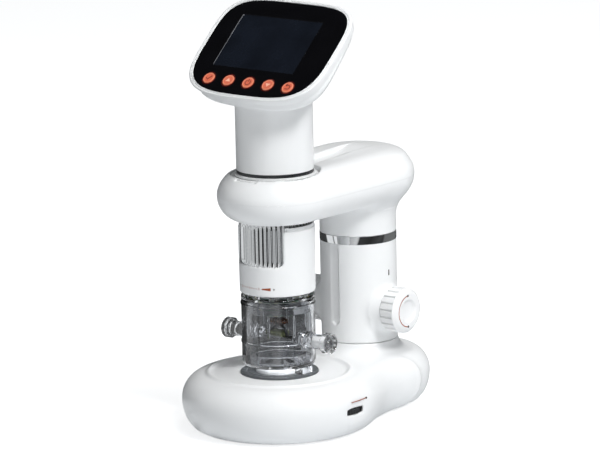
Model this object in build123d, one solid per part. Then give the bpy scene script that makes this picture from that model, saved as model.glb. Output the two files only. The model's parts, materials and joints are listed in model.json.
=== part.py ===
"""Kids' microscope on a stand: screen handset, lifting arm, column, base with a lit stage, specimen chamber.

Millimetres, +Z up, the object faces -Y.  The origin is on the floor, under the middle of the base.
Each sub-part is a function that returns its solid, and PARTS at the end names the file of each one.
"""
from build123d import *
from math import atan, cos, pi, radians, sin, sqrt, tan
import os

# ---------------------------------------------------------------- driving dimensions
TUBE_Y = -30.0            # optical axis: handset, chamber and stage
COLUMN_Y = 45.5           # axis of the column and of the lift tube
WALL = 2.2                # moulded wall

FOOT_Z = 1.0              # the base stands this far off the floor on its feet
BASE_WAIST_Z = 18.6       # height of the base's widest outline
BASE_FRONT_R = 57.5       # front disc of the base, at its widest
BASE_FRONT_FOOT_R = 46.5
BASE_FRONT_TOP_R = 44.5
BASE_REAR_Y = 47.0        # rear disc of the base
BASE_REAR_R = 40.5
BRIDGE_REAR_HALF = 38.5
BRIDGE_FRONT_Y = -12.0
BRIDGE_FRONT_HALF = 50.0
BASE_REAR_FOOT_R = 29.5
BASE_REAR_TOP_R = 28.5
BASE_TOP_Z = 33.0
SEAM_Z = 39.6             # top of the base's collar, where the column starts

STAGE_R = 22.8
STAGE_Z = 34.0            # top of the stage disc
PUCK_R = 14.0
PUCK_TOP_Z = 37.5

COLUMN_R = 22.7
BAND_Z0 = 99.2
BAND_Z1 = 104.1
GUIDE_R = 19.5            # sliding fit of the lift tube
FIT = 0.05                # radial clearance of a sliding or turning fit
GAP = 0.3                 # free gap between parts that move past each other

KNOB_Z = 59.1             # axis of the height knobs, along X
KNOB_R = 13.5
KNOB_FACE_X = 37.2
KNOB_REAR_X = 25.6
FLARE_X0 = 16.1           # the column swells out to the back of each knob
FLARE_X1 = KNOB_REAR_X - GAP
SHAFT_R = 3.0
GEAR_MODULE = 0.8
PINION_TEETH = 17
LIFT = 16.0               # travel of the arm

ARM_Z = 137.9             # middle height of the arm
ARM_R = 34.0              # radius of the arm's rounded ends
ARM_HALF = 14.5
ARM_REAR_TOP_Z = 155.6
ARM_BORE_R = 22.8
SKIRT_Z0 = BAND_Z1 + 0.2
COLLAR_R = 26.0
COLLAR_Z0 = 146.4
COLLAR_Z1 = 150.1

TUBE_R = 22.5             # upper tube of the handset
NECK_Z0 = 151.6
NECK_Z1 = 153.6
BARREL_R = 20.3
SHROUD_TOP_Z = 120.0
SHROUD_Z = 81.7
SHROUD_TOP_R = 22.4
SHROUD_R = 22.0
WINDOW_Z = 99.5
WINDOW_HALF_ANGLE = 49.0
RING_R = 20.8
RING_Z0 = 97.6
RING_Z1 = 124.4
SLEEVE_R = 16.8           # the focus ring turns on this
LENS_R = 14.92

SCREEN_TILT = 41.84       # degrees from level
GLASS_CENTRE = (0, TUBE_Y - 3.7, 223.6)
GLASS_HALF = (46.4, 34.5)
HEAD_HALF = (48.8, 36.9)
SQUIRCLE = 3.6            # exponent of the head's outline
HEAD_WALL = 8.0           # depth of the head's side wall
LCD_HALF = (29.8, 19.2)
LCD_CENTRE = (-2.7, 3.6)
BUTTON_V = -25.2
BUTTON_STEP = 14.6
BUTTON_R = 4.7
BUTTON_NAMES = ["confirm", "up", "power", "down", "mode"]

CHAMBER_R = 21.2
CHAMBER_TOP_Z = 81.2
CHAMBER_Z0 = 40.5
SPINDLE_Z = 54.4
SPINDLE_R = 3.5
SPINDLE_X0 = 14.0         # inner end of each half of the spindle
CLIP_R = 6.6
SPECIMEN_KNOB_X = 36.9

DIMMER_Z = 17.0
DIMMER_R = 9.0
DIMMER_X = 48.0
DIMMER_HALF = 1.4         # half thickness of the thumbwheel

screen = Plane(origin=GLASS_CENTRE, x_dir=(1, 0, 0),
               z_dir=(0, -sin(radians(SCREEN_TILT)), cos(radians(SCREEN_TILT))))


# ---------------------------------------------------------------- helpers
def cyl(r, z0, z1, x=0.0, y=0.0):
    return Pos(x, y, (z0 + z1) / 2) * Cylinder(r, z1 - z0)


def ring(r_out, r_in, z0, z1, x=0.0, y=0.0):
    return cyl(r_out, z0, z1, x, y) - cyl(r_in, z0 - 1, z1 + 1, x, y)


def rod_x(r, x0, x1, y=0.0, z=0.0):
    return Pos((x0 + x1) / 2, y, z) * Rot(0, 90, 0) * Cylinder(r, x1 - x0)


def box(x0, x1, y0, y1, z0, z1):
    return Pos((x0 + x1) / 2, (y0 + y1) / 2, (z0 + z1) / 2) * Box(x1 - x0, y1 - y0, z1 - z0)


def turned(points, y):
    """A solid turned about the vertical line at y from a closed outline of (radius, height)."""
    face = make_face(Plane.XZ * Polyline(*points, close=True))
    return Pos(0, y, 0) * revolve(face, Axis.Z)


def squircle(half, inset=0.0):
    """Closed superellipse, smooth all round."""
    a = half[0] - inset
    b = half[1] - inset
    count = 32
    points = []
    for i in range(count):
        t = 2 * pi * i / count
        scale = (abs(cos(t)) ** SQUIRCLE + abs(sin(t)) ** SQUIRCLE) ** (-1 / SQUIRCLE)
        points.append((a * scale * cos(t), b * scale * sin(t)))
    return make_face(Spline(*points, periodic=True))


def on_screen(face, w0, w1):
    """A slab of the face between two depths of the screen's plane."""
    return extrude(screen.offset(w0) * face, amount=w1 - w0)


def screen_box(u, v, du, dv, w0, w1):
    return on_screen(Pos(u, v) * Rectangle(du, dv), w0, w1)


def screw(head_r, shank_r, head_h, length):
    """Pan-head screw, head down at z = 0, shank up, with a cross recess."""
    body = cyl(head_r, 0, head_h) + cyl(shank_r, head_h, head_h + length)
    cross = Box(head_r * 1.2, 0.5, 0.8) + Box(0.5, head_r * 1.2, 0.8)
    return body - cross


# ---------------------------------------------------------------- base
def base_profile(r_foot, r_wide, r_top, inset, top):
    """Half outline of one rounded disc of the base: two quarter ellipses, moved in by inset."""
    z_foot = FOOT_Z
    steps = 8
    points = [(0, z_foot)]
    for i in range(steps + 1):
        t = pi / 2 * i / steps
        points.append((r_foot + (r_wide - r_foot) * sin(t) - inset,
                       BASE_WAIST_Z - (BASE_WAIST_Z - z_foot) * cos(t)))
    for i in range(1, steps + 1):
        t = pi / 2 * i / steps
        points.append((r_top + (r_wide - r_top) * cos(t) - inset,
                       BASE_WAIST_Z + (BASE_TOP_Z - inset - BASE_WAIST_Z) * sin(t)))
    return points + top


def base_bridge(inset):
    """Joins the two discs with tapering sides of the same section."""
    top = BASE_TOP_Z - inset
    sections = []
    for y, wide in ((COLUMN_Y, BRIDGE_REAR_HALF), (BRIDGE_FRONT_Y, BRIDGE_FRONT_HALF)):
        half = wide - inset
        sections.append(Plane.XZ.offset(-y) * make_face(
            Polyline((-half + 12, FOOT_Z), (-half, BASE_WAIST_Z), (-half + 10, top),
                     (half - 10, top), (half, BASE_WAIST_Z), (half - 12, FOOT_Z), close=True)))
    return loft(sections, ruled=True)


def base_body(inset):
    ridge = [(42.6, 33.1 - inset), (41.1, 33.4 - inset), (39.4, BASE_TOP_Z - inset), (0, BASE_TOP_Z - inset)]
    front = turned(base_profile(BASE_FRONT_FOOT_R, BASE_FRONT_R, BASE_FRONT_TOP_R, inset, ridge), TUBE_Y)
    low = SEAM_Z - 6.0
    collar = [(25.2 - inset, low + 1.2), (23.4 - inset, low + 3.2), (COLUMN_R - inset, SEAM_Z), (0, SEAM_Z)]
    rear = turned(base_profile(BASE_REAR_FOOT_R, BASE_REAR_R, BASE_REAR_TOP_R, inset, collar), BASE_REAR_Y)
    return front + rear + base_bridge(inset)


def dimmer_slot():
    half = DIMMER_HALF + 0.4
    return box(DIMMER_X, BASE_FRONT_R + 2, TUBE_Y - 7.2, TUBE_Y + 7.2, DIMMER_Z - half, DIMMER_Z + half)


SCREW_SPOTS = [(-30, TUBE_Y - 20), (30, TUBE_Y - 20), (-22, BASE_REAR_Y + 8), (22, BASE_REAR_Y + 8)]
FOOT_SPOTS = [(-36, TUBE_Y - 8), (36, TUBE_Y - 8), (-12, BASE_REAR_Y + 14), (12, BASE_REAR_Y + 14)]
SOCKET_Z = 12.0


def base_shell():
    shell = base_body(0) - base_body(2.4)
    shell += cyl(COLUMN_R - 0.2, BASE_TOP_Z - 2.4, SEAM_Z, 0, COLUMN_Y)
    shell += cyl(STAGE_R + 2, 28.4, BASE_TOP_Z, 0, TUBE_Y)
    shell -= cyl(COLUMN_R - WALL, 28, SEAM_Z + 1, 0, COLUMN_Y)
    shell -= cyl(STAGE_R, 31, 36, 0, TUBE_Y)
    shell -= cyl(12.0, 20, 36, 0, TUBE_Y)
    for x, y in SCREW_SPOTS:
        shell += cyl(3.6, 5.4, 31.5, x, y) & base_body(1)
        shell -= cyl(1.3, 4, 16, x, y)
    shell -= dimmer_slot()
    shell -= box(-5, 5, BASE_REAR_Y + 30, BASE_REAR_Y + 45, SOCKET_Z - 2, SOCKET_Z + 2)
    return shell


def base_bottom_plate():
    """Closes the base from below, inside the shell's lower edge."""
    plate = base_body(2.5) & box(-70, 70, -100, 100, FOOT_Z, 3.0)
    for x, y in SCREW_SPOTS:
        plate -= cyl(1.7, 0, 4, x, y)
        plate -= cyl(3.0, 0, 2.0, x, y)
    for x, y in FOOT_SPOTS:
        plate -= cyl(6.0, 0, 1.8, x, y)
    return plate


def rubber_feet():
    return [fillet(cyl(5.9, 0, 1.8, x, y).edges().group_by(Axis.Z)[0], 0.6) for x, y in FOOT_SPOTS]


def base_screws():
    return [Pos(x, y, 1.2) * screw(2.8, 1.25, 0.8, 9.0) for x, y in SCREW_SPOTS]


def base_weight():
    """Steel plate under the stage that keeps the stand from tipping."""
    plate = cyl(28, 3.1, 10.1, 0, TUBE_Y)
    for x, y in SCREW_SPOTS[:2]:
        plate -= cyl(5, 3, 11, x, y)
    return plate


def stage_disc():
    return ring(STAGE_R - FIT, PUCK_R + FIT, 31.0, STAGE_Z, 0, TUBE_Y)


def stage_diffuser():
    puck = cyl(PUCK_R, 31.0, PUCK_TOP_Z, 0, TUBE_Y)
    return fillet(puck.edges().group_by(Axis.Z)[-1], 1.4)


def stage_light_board():
    board = cyl(17, 26.6, 28.2, 0, TUBE_Y)
    for side in (-1, 1):
        board -= cyl(1.1, 26, 29, side * 14, TUBE_Y)
    return board


def stage_light_led():
    return box(-2.5, 2.5, TUBE_Y - 2.5, TUBE_Y + 2.5, 28.2, 29.4)


def dimmer_board():
    """Board behind the slot, with the body of the rotary control and its fixed pin."""
    board = box(DIMMER_X - 14, DIMMER_X + 4, TUBE_Y - 9, TUBE_Y + 9, 10.4, 12.0)
    return board - cyl(1.5, 10, 13, DIMMER_X, TUBE_Y)


def dimmer_control():
    body = box(DIMMER_X - 4, DIMMER_X + 4, TUBE_Y - 4, TUBE_Y + 4, 12.0, DIMMER_Z - 2.0)
    return body + cyl(1.5, 10.4, DIMMER_Z + 2.4, DIMMER_X, TUBE_Y)


def dimmer_wheel():
    """Knurled thumbwheel that shows in the slot."""
    wheel = ring(DIMMER_R, 1.5 + FIT, DIMMER_Z - DIMMER_HALF, DIMMER_Z + DIMMER_HALF, DIMMER_X, TUBE_Y)
    teeth = 36
    for i in range(teeth):
        turn = Pos(DIMMER_X, TUBE_Y, DIMMER_Z) * Rot(0, 0, 360 * i / teeth)
        wheel -= turn * Pos(DIMMER_R, 0, 0) * Cylinder(0.4, 5)
    return wheel


def power_socket(z=SOCKET_Z):
    y = BASE_REAR_Y + BASE_REAR_R - 4.2
    body = box(-4.6, 4.6, y - 6, y + 2.6, z - 1.8, z + 1.8)
    return body - box(-3.8, 3.8, y - 3, y + 3, z - 1.1, z + 1.1)


# ---------------------------------------------------------------- column
def column_shell():
    shell = ring(COLUMN_R, COLUMN_R - WALL, SEAM_Z, BAND_Z0, 0, COLUMN_Y)
    for side in (-1, 1):
        place = Pos(side * (FLARE_X0 + FLARE_X1) / 2, COLUMN_Y, KNOB_Z) * Rot(0, 90 * side, 0)
        flare = place * Cone(18.0, 13.2, FLARE_X1 - FLARE_X0)
        shell += flare - cyl(COLUMN_R - WALL, 30, 110, 0, COLUMN_Y)
    shell -= rod_x(4.5, -30, 30, COLUMN_Y, KNOB_Z)
    groove_y = COLUMN_Y - COLUMN_R
    shell -= box(-2.0, 2.0, groove_y - 1, groove_y + 1.0, 52.7, BAND_Z0 + 1)
    shell -= Pos(0, groove_y, 52.7) * Rot(90, 0, 0) * Cylinder(2.0, 2.0)
    return shell


def column_band():
    return ring(COLUMN_R + 0.1, GUIDE_R + 0.3, BAND_Z0, BAND_Z1, 0, COLUMN_Y)


def column_guide():
    """Plastic sleeve that the lift tube slides in."""
    return ring(COLUMN_R - WALL, GUIDE_R + FIT, 76.0, BAND_Z0, 0, COLUMN_Y)


def knob_bushes():
    bushes = []
    for side in (-1, 1):
        x0 = side * 19.8
        x1 = side * FLARE_X1
        outer = rod_x(4.5, min(x0, x1), max(x0, x1), COLUMN_Y, KNOB_Z)
        bushes.append(outer - rod_x(SHAFT_R + FIT, -40, 40, COLUMN_Y, KNOB_Z))
    return bushes


# ---------------------------------------------------------------- arm
def pill(inset):
    """The arm's rounded bar: a long round-ended slab with fully rounded edges."""
    length = COLUMN_Y - TUBE_Y
    plan = SlotOverall(length + 2 * (ARM_R - inset), 2 * (ARM_R - inset), rotation=90)
    half = ARM_HALF - inset
    slab = extrude(Pos(0, (TUBE_Y + COLUMN_Y) / 2, ARM_Z - half) * plan, amount=2 * half)
    return fillet(slab.edges(), half - 0.15)


def arm_dome(inset):
    """The rear end rises into a smooth dome."""
    top = ARM_REAR_TOP_Z - inset
    r = ARM_R - inset
    steps = 10
    points = [(0, ARM_Z)]
    for i in range(steps + 1):
        t = pi / 2 * i / steps
        points.append((r * cos(t) ** 0.8, ARM_Z + (top - ARM_Z) * sin(t) ** 0.8))
    return turned(points, COLUMN_Y)


def arm_valley():
    """Long shallow hollow on top of the arm, between its two side rails."""
    r = 30.0
    z = ARM_Z + ARM_HALF + r - 3.2
    run = COLUMN_Y - 12 - TUBE_Y
    channel = Pos(0, TUBE_Y + run / 2, z) * Rot(90, 0, 0) * Cylinder(r, run)
    return channel + Pos(0, TUBE_Y + run, z) * Sphere(r)


def arm_solid(inset):
    skirt_r = COLUMN_R - inset
    flare = [(0, SKIRT_Z0 - inset), (skirt_r, SKIRT_Z0 - inset), (skirt_r, 116), (skirt_r + 1.4, 120.5),
             (skirt_r + 4.4, 125), (skirt_r + 4.4, 130), (0, 130)]
    return pill(inset) + arm_dome(inset) + turned(flare, COLUMN_Y)


def arm_halves():
    """Upper and lower shells of the arm, which meet at its middle height."""
    outer = arm_solid(0) - arm_valley()
    cavity = arm_solid(2.4) - Pos(0, 0, -2.4) * arm_valley()
    cavity -= cyl(COLLAR_R + 2.2, 100, 170, 0, TUBE_Y)
    cavity -= ring(GUIDE_R + 2.2, GUIDE_R - FIT, 112, 136, 0, COLUMN_Y)
    body = outer - cavity
    body -= cyl(ARM_BORE_R, 100, 170, 0, TUBE_Y)
    body -= cyl(COLLAR_R + FIT, COLLAR_Z0, 170, 0, TUBE_Y)
    body -= cyl(GUIDE_R - FIT, 100, 136, 0, COLUMN_Y)
    span = 200
    upper = body & box(-span, span, -span, span, ARM_Z, 200)
    lower = body & box(-span, span, -span, span, 90, ARM_Z)
    return upper, lower


def lift_tube():
    """Slides in the column and carries the arm.  The height knobs' shaft crosses its lower end."""
    tube = ring(GUIDE_R - FIT, GUIDE_R - 2.2, 52.0, 136.0, 0, COLUMN_Y)
    return tube - box(-30, 30, COLUMN_Y - 4, COLUMN_Y + 4, 50, KNOB_Z + 6)


RACK_Y0 = COLUMN_Y + GEAR_MODULE * PINION_TEETH / 2   # pitch line of the rack


def focus_rack():
    """Toothed bar inside the lift tube, teeth towards the pinion."""
    m = GEAR_MODULE
    pitch = pi * m
    z0 = KNOB_Z - LIFT - 5.5
    back = RACK_Y0 + 1.25 * m
    bar = box(-3.5, 3.5, back, back + 3.6, z0, 96.0)
    pad_y = COLUMN_Y + GUIDE_R - 2.2
    bar += box(-3.0, 3.0, back + 3.6, pad_y - 0.35, 68.0, 94.0)
    half = pitch / 4 - 0.10
    lean = tan(radians(20))
    count = int((LIFT + 10) / pitch) + 1
    first = -int((LIFT + 4.5) / pitch) - 0.5
    for i in range(count):
        z = KNOB_Z + (first + i) * pitch
        root = half + 1.25 * m * lean
        tip = half - 0.9 * m * lean
        tooth = Polyline((back + 0.05, z - root), (RACK_Y0 - 0.9 * m, z - tip),
                         (RACK_Y0 - 0.9 * m, z + tip), (back + 0.05, z + root), close=True)
        face = Plane.YZ.offset(-3.5) * make_face(tooth)
        bar += extrude(face, amount=7.0)
    return bar


def pinion():
    """Involute pinion.  A tooth points at the rack, between two of the rack's teeth."""
    m = GEAR_MODULE
    r = m * PINION_TEETH / 2
    r_base = r * cos(radians(20))
    r_tip = r + 0.9 * m
    r_root = r - 1.25 * m
    inv20 = tan(radians(20)) - radians(20)
    half = pi / (2 * PINION_TEETH) - 0.10 / r
    flank = []
    steps = 5
    for i in range(steps + 1):
        rho = r_base + (r_tip - r_base) * i / steps
        a = sqrt(rho * rho / r_base ** 2 - 1) if i else 0.0
        roll = a - atan(a)
        flank.append((rho, half + inv20 - roll))
    gear = rod_x(r_root, -4, 4, 0, 0)
    for i in range(PINION_TEETH):
        points = [polar(r_root - 0.2, flank[0][1]), *[polar(rho, a) for rho, a in flank],
                  *[polar(rho, -a) for rho, a in reversed(flank)], polar(r_root - 0.2, -flank[0][1])]
        tooth = extrude(Plane.YZ.offset(-4) * make_face(Polyline(*points, close=True)), amount=8)
        gear += Rot(360 * i / PINION_TEETH, 0, 0) * tooth
    gear = Pos(0, COLUMN_Y, KNOB_Z) * gear
    return gear - rod_x(SHAFT_R, -10, 10, COLUMN_Y, KNOB_Z)


def polar(r, a):
    return (r * cos(a), r * sin(a))


def focus_shaft():
    return rod_x(SHAFT_R, -KNOB_FACE_X + 3, KNOB_FACE_X - 3, COLUMN_Y, KNOB_Z)


def height_knob(side):
    """Fluted hand knob with a rounded shoulder and a dished face, on the side of the column."""
    depth = KNOB_FACE_X - KNOB_REAR_X
    knob = Cylinder(KNOB_R, depth)
    knob = fillet(knob.edges().group_by(Axis.Z)[-1], 3.4)
    knob -= Pos(0, 0, depth / 2 + 19.0) * Sphere(20.3)
    flutes = 20
    for i in range(flutes):
        groove = Pos(KNOB_R + 0.25, 0, -depth / 2 + 2.2) * Cylinder(0.7, 5.0)
        knob -= Rot(0, 0, 360 * i / flutes) * groove
    place = Pos(side * (KNOB_REAR_X + KNOB_FACE_X) / 2, COLUMN_Y, KNOB_Z) * Rot(0, 90 * side, 0)
    return place * knob - rod_x(SHAFT_R, -KNOB_FACE_X + 3, KNOB_FACE_X - 3, COLUMN_Y, KNOB_Z)


# ---------------------------------------------------------------- handset
def swivel_collar():
    """White ring in the arm's mouth.  The handset stands in it and turns with it."""
    return ring(COLLAR_R, ARM_BORE_R, COLLAR_Z0 + 0.1, COLLAR_Z1, 0, TUBE_Y)


def neck_ring():
    return ring(TUBE_R - 0.1, BARREL_R, NECK_Z0, NECK_Z1, 0, TUBE_Y)


def inner_barrel():
    """Core of the handset, with the flange that rests on the collar and the sleeve of the focus ring."""
    core = ring(BARREL_R, 18.3, 126.0, 166.0, 0, TUBE_Y)
    core += ring(23.6, 18.3, COLLAR_Z1 + 0.2, NECK_Z0, 0, TUBE_Y)
    core += ring(BARREL_R, 15.0, 125.0, 127.5, 0, TUBE_Y)
    core += ring(SLEEVE_R - FIT, 15.0, 90.0, 126.0, 0, TUBE_Y)
    return core + ring(19.9, 15.0, 90.0, 92.6, 0, TUBE_Y)


def lower_shroud():
    """White cover round the lens, with a wide window at the front for the focus ring."""
    outer = [(0, SHROUD_Z), (SHROUD_R, SHROUD_Z), (SHROUD_TOP_R, SHROUD_TOP_Z), (0, SHROUD_TOP_Z)]
    shell = turned(outer, TUBE_Y)
    shell -= cyl(21.1, 95.0, 130, 0, TUBE_Y)
    shell -= cyl(19.9, 80, 130, 0, TUBE_Y)
    reach = 40.0
    half = radians(WINDOW_HALF_ANGLE)
    wedge = make_face(Polyline((0, 0), (reach * sin(half), -reach * cos(half)), (0, -reach * 1.4),
                               (-reach * sin(half), -reach * cos(half)), close=True))
    return shell - extrude(Pos(0, TUBE_Y, WINDOW_Z) * wedge, amount=40)


def focus_ring():
    """Bright fluted ring that is turned through the window."""
    body = ring(RING_R, SLEEVE_R, RING_Z0, RING_Z1, 0, TUBE_Y)
    flutes = 48
    for i in range(flutes):
        turn = Pos(0, TUBE_Y, 0) * Rot(0, 0, 360 * i / flutes)
        body -= turn * Pos(RING_R + 0.35, 0, 111) * Cylinder(0.75, 24)
    return body


def lens_barrel():
    return ring(LENS_R, 9.0, 86.4, 110.0, 0, TUBE_Y)


def objective_lens():
    """Plano-convex lens in the lower mouth of the barrel."""
    glass = cyl(9.0, 88.0, 92.0, 0, TUBE_Y)
    return fillet(glass.edges().group_by(Axis.Z)[0], 1.8)


def sensor_board():
    """Round board with the image sensor soldered on its lower face."""
    return cyl(14.2, 116.0, 117.6, 0, TUBE_Y) + box(-4, 4, TUBE_Y - 4, TUBE_Y + 4, 114.6, 116.1)


def light_ring_board():
    return ring(19.8, 15.6, 84.4, 85.8, 0, TUBE_Y)


def ring_lights():
    lights = []
    for i in range(8):
        lights.append(Pos(0, TUBE_Y, 83.9) * Rot(0, 0, 45 * i) * Pos(17.7, 0, 0) * Box(2.8, 2.8, 1.0))
    return lights


def head_bowl(inset):
    """Back of the head: from the side wall in to the tube, and the tube down to the neck."""
    wide = screen.offset(-HEAD_WALL) * squircle(HEAD_HALF, inset)
    middle = screen.offset(-HEAD_WALL - 8 + inset) * squircle((45.0, 33.0), inset)
    small = screen.offset(-HEAD_WALL - 17 + inset) * squircle((28.0, 22.5), inset)
    bowl = loft([wide, middle, small])
    tube = cyl(TUBE_R - inset, NECK_Z1 - inset, 250, 0, TUBE_Y)
    return bowl + (tube & on_screen(Rectangle(150, 150), -120, -HEAD_WALL))


SOCKET_TUBE_Z = 176.0


def head_back_shell():
    shell = head_bowl(0) - head_bowl(WALL)
    shell -= cyl(BARREL_R, 140, 166, 0, TUBE_Y)
    y = TUBE_Y + TUBE_R
    shell -= box(-4.9, 4.9, y - 6, y + 4, SOCKET_TUBE_Z - 2, SOCKET_TUBE_Z + 2)
    return shell - box(-6.4, 6.4, y - 6, y + 4, SOCKET_TUBE_Z + 8.9, SOCKET_TUBE_Z + 11.1)


def charging_socket():
    y = TUBE_Y + TUBE_R
    body = box(-4.6, 4.6, y - 7.5, y - 0.6, SOCKET_TUBE_Z - 1.8, SOCKET_TUBE_Z + 1.8)
    return body - box(-3.8, 3.8, y - 4, y + 1, SOCKET_TUBE_Z - 1.1, SOCKET_TUBE_Z + 1.1)


def card_socket():
    y = TUBE_Y + TUBE_R
    z = SOCKET_TUBE_Z + 10
    body = box(-6.2, 6.2, y - 12, y - 2.4, z - 1.0, z + 1.0)
    return body - box(-5.6, 5.6, y - 9, y + 1, z - 0.5, z + 0.5)


def head_bezel():
    """White front frame of the head, with the seat of the glass."""
    frame = on_screen(squircle(HEAD_HALF), -HEAD_WALL, 0.4)
    frame = frame - on_screen(squircle(GLASS_HALF, -0.1), -1.4, 1)
    return frame - on_screen(squircle(GLASS_HALF, 1.4), -HEAD_WALL - 1, 1)


def screen_glass():
    glass = on_screen(squircle(GLASS_HALF), -1.4, 0)
    for i in range(len(BUTTON_NAMES)):
        glass -= on_screen(Pos(button_u(i), BUTTON_V) * Circle(BUTTON_R + 0.35), -2, 1)
    return glass


def lcd_panel():
    return screen_box(LCD_CENTRE[0], LCD_CENTRE[1], 2 * LCD_HALF[0] + 5, 2 * LCD_HALF[1] + 6, -4.0, -1.5)


def button_u(i):
    return (i - 2) * BUTTON_STEP


def button(i):
    """Round key: a domed cap that stands in the glass, with a wider skirt behind it."""
    cap = on_screen(Pos(button_u(i), BUTTON_V) * Circle(BUTTON_R), -1.4, 0.9)
    edge = cap.edges().sort_by(Axis((0, 0, 0), screen.z_dir))[-1]
    cap = fillet(edge, 0.5)
    return cap + on_screen(Pos(button_u(i), BUTTON_V) * Circle(BUTTON_R + 0.7), -2.6, -1.7) + on_screen(
        Pos(button_u(i), BUTTON_V) * Circle(BUTTON_R), -1.7, -1.4)


def key_board():
    return screen_box(0, BUTTON_V, 67, 7.0, -6.8, -5.4)


def key_switches():
    switches = []
    for i in range(len(BUTTON_NAMES)):
        case = screen_box(button_u(i), BUTTON_V, 4.5, 4.5, -5.4, -4.2)
        stem = on_screen(Pos(button_u(i), BUTTON_V) * Circle(1.1), -4.2, -3.8)
        switches.append(case + stem)
    return switches


def main_board():
    return screen_box(0, 5, 66, 40, -9.0, -7.4)


def battery():
    return screen_box(0, 6, 44, 30, -15.2, -9.6)


def head_screws():
    """Hold the back of the head to its frame, from behind."""
    screws = []
    for u, v in [(-34, 20), (34, 20), (-34, -16), (34, -16)]:
        screws.append(screen.offset(-HEAD_WALL - 4) * Pos(u, v, 0) * screw(2.0, 1.0, 1.0, 6.0))
    return screws


# ---------------------------------------------------------------- specimen chamber
LEG_X0 = 15.2
LEG_X1 = 21.0


def chamber_body():
    """Clear drum with a flange round its middle and two bosses for the spindle."""
    drum = ring(CHAMBER_R, 19.4, CHAMBER_Z0, 77.6, 0, TUBE_Y)
    for z in (51.4, 74.0):
        drum += ring(CHAMBER_R + 0.7, 19.4, z, z + 1.4, 0, TUBE_Y)
    for side in (-1, 1):
        boss = rod_x(5.2, min(side * 19.6, side * 24), max(side * 19.6, side * 24), TUBE_Y, SPINDLE_Z)
        drum += boss - cyl(19.4, 30, 90, 0, TUBE_Y)
    return drum - rod_x(SPINDLE_R + FIT, -30, 30, TUBE_Y, SPINDLE_Z)


def chamber_lid():
    """Clear cap with an open middle for the lens, an inner collar and a ring of lugs."""
    cap = ring(CHAMBER_R, 12.5, 77.7, 79.4, 0, TUBE_Y)
    cap += ring(19.2, 17.4, 70.0, 77.8, 0, TUBE_Y)
    cap += ring(14.3, 12.5, 74.5, 77.8, 0, TUBE_Y)
    lugs = 12
    for i in range(lugs):
        cap += Pos(0, TUBE_Y, 80.2) * Rot(0, 0, 360 * i / lugs) * Pos(19.6, 0, 0) * Box(2.4, 4.4, 2.0)
    return cap


def chamber_foot():
    """Ribbed clear floor of the chamber on two legs, one each side of the stage light."""
    floor = ring(20.8, 5.0, 38.4, CHAMBER_Z0 - 0.1, 0, TUBE_Y)
    floor += ring(19.2, 17.6, CHAMBER_Z0 - 0.2, 45.6, 0, TUBE_Y)
    for side in (-1, 1):
        x0 = min(side * LEG_X0, side * LEG_X1)
        leg = box(x0, x0 + LEG_X1 - LEG_X0, TUBE_Y - 5, TUBE_Y + 5, STAGE_Z + 0.15, 38.6)
        floor += fillet(leg.edges().filter_by(Axis.Z), 1.6)
    ribs = 36
    for i in range(ribs):
        rib = Pos(0, TUBE_Y, 39.9) * Rot(0, 0, 360 * i / ribs) * Pos(16.2, 0, 0)
        floor += rib * Box(3.0, 0.8, 3.0)
    return floor


def specimen_knob(side):
    """Clear hand knob with a raised rim, and its half of the spindle."""
    x0 = SPECIMEN_KNOB_X - 2.2
    knob = rod_x(6.2, x0, x0 + 4.4, TUBE_Y, SPINDLE_Z)
    knob -= rod_x(4.6, x0 + 3.0, x0 + 6, TUBE_Y, SPINDLE_Z)
    knob += rod_x(SPINDLE_R, SPINDLE_X0, x0 + 0.1, TUBE_Y, SPINDLE_Z)
    knob += rod_x(4.4, 24.3, x0, TUBE_Y, SPINDLE_Z)
    return knob if side > 0 else mirror(knob, Plane.YZ)


def specimen_cradle():
    """Flat strip that joins the two halves of the spindle."""
    strip = box(-SPINDLE_X0, SPINDLE_X0, TUBE_Y - 3.5, TUBE_Y + 3.5, SPINDLE_Z - 1.2, SPINDLE_Z)
    for side in (-1, 1):
        x = side * (SPINDLE_X0 - 0.6)
        strip += rod_x(SPINDLE_R, x - 0.6, x + 0.6, TUBE_Y, SPINDLE_Z)
    return strip


def specimen_pad():
    """Small olive pad under the specimen."""
    pad = box(-7.0, 5.0, TUBE_Y - 4, TUBE_Y + 4, SPINDLE_Z, SPINDLE_Z + 2.6)
    return fillet(pad.edges().group_by(Axis.Z)[-1], 1.0)


def specimen_clip():
    """Bent clip that stands on the strip, over the pad, and holds the specimen up."""
    arch = Pos(0, TUBE_Y, SPINDLE_Z) * Rot(90, 0, 0) * ring(CLIP_R, CLIP_R - 0.8, -1.0, 1.0)
    return (arch & box(-20, 20, -100, 100, SPINDLE_Z, SPINDLE_Z + 20)) - specimen_pad()


def specimen_beetle():
    """Dried beetle in its plain outer shape, on top of the clip."""
    half = Ellipse(6.0, 2.4) & Pos(0, 5) * Rectangle(20, 10)
    return Pos(0, TUBE_Y, SPINDLE_Z + CLIP_R + 2.4) * revolve(half, Axis.X)


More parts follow.
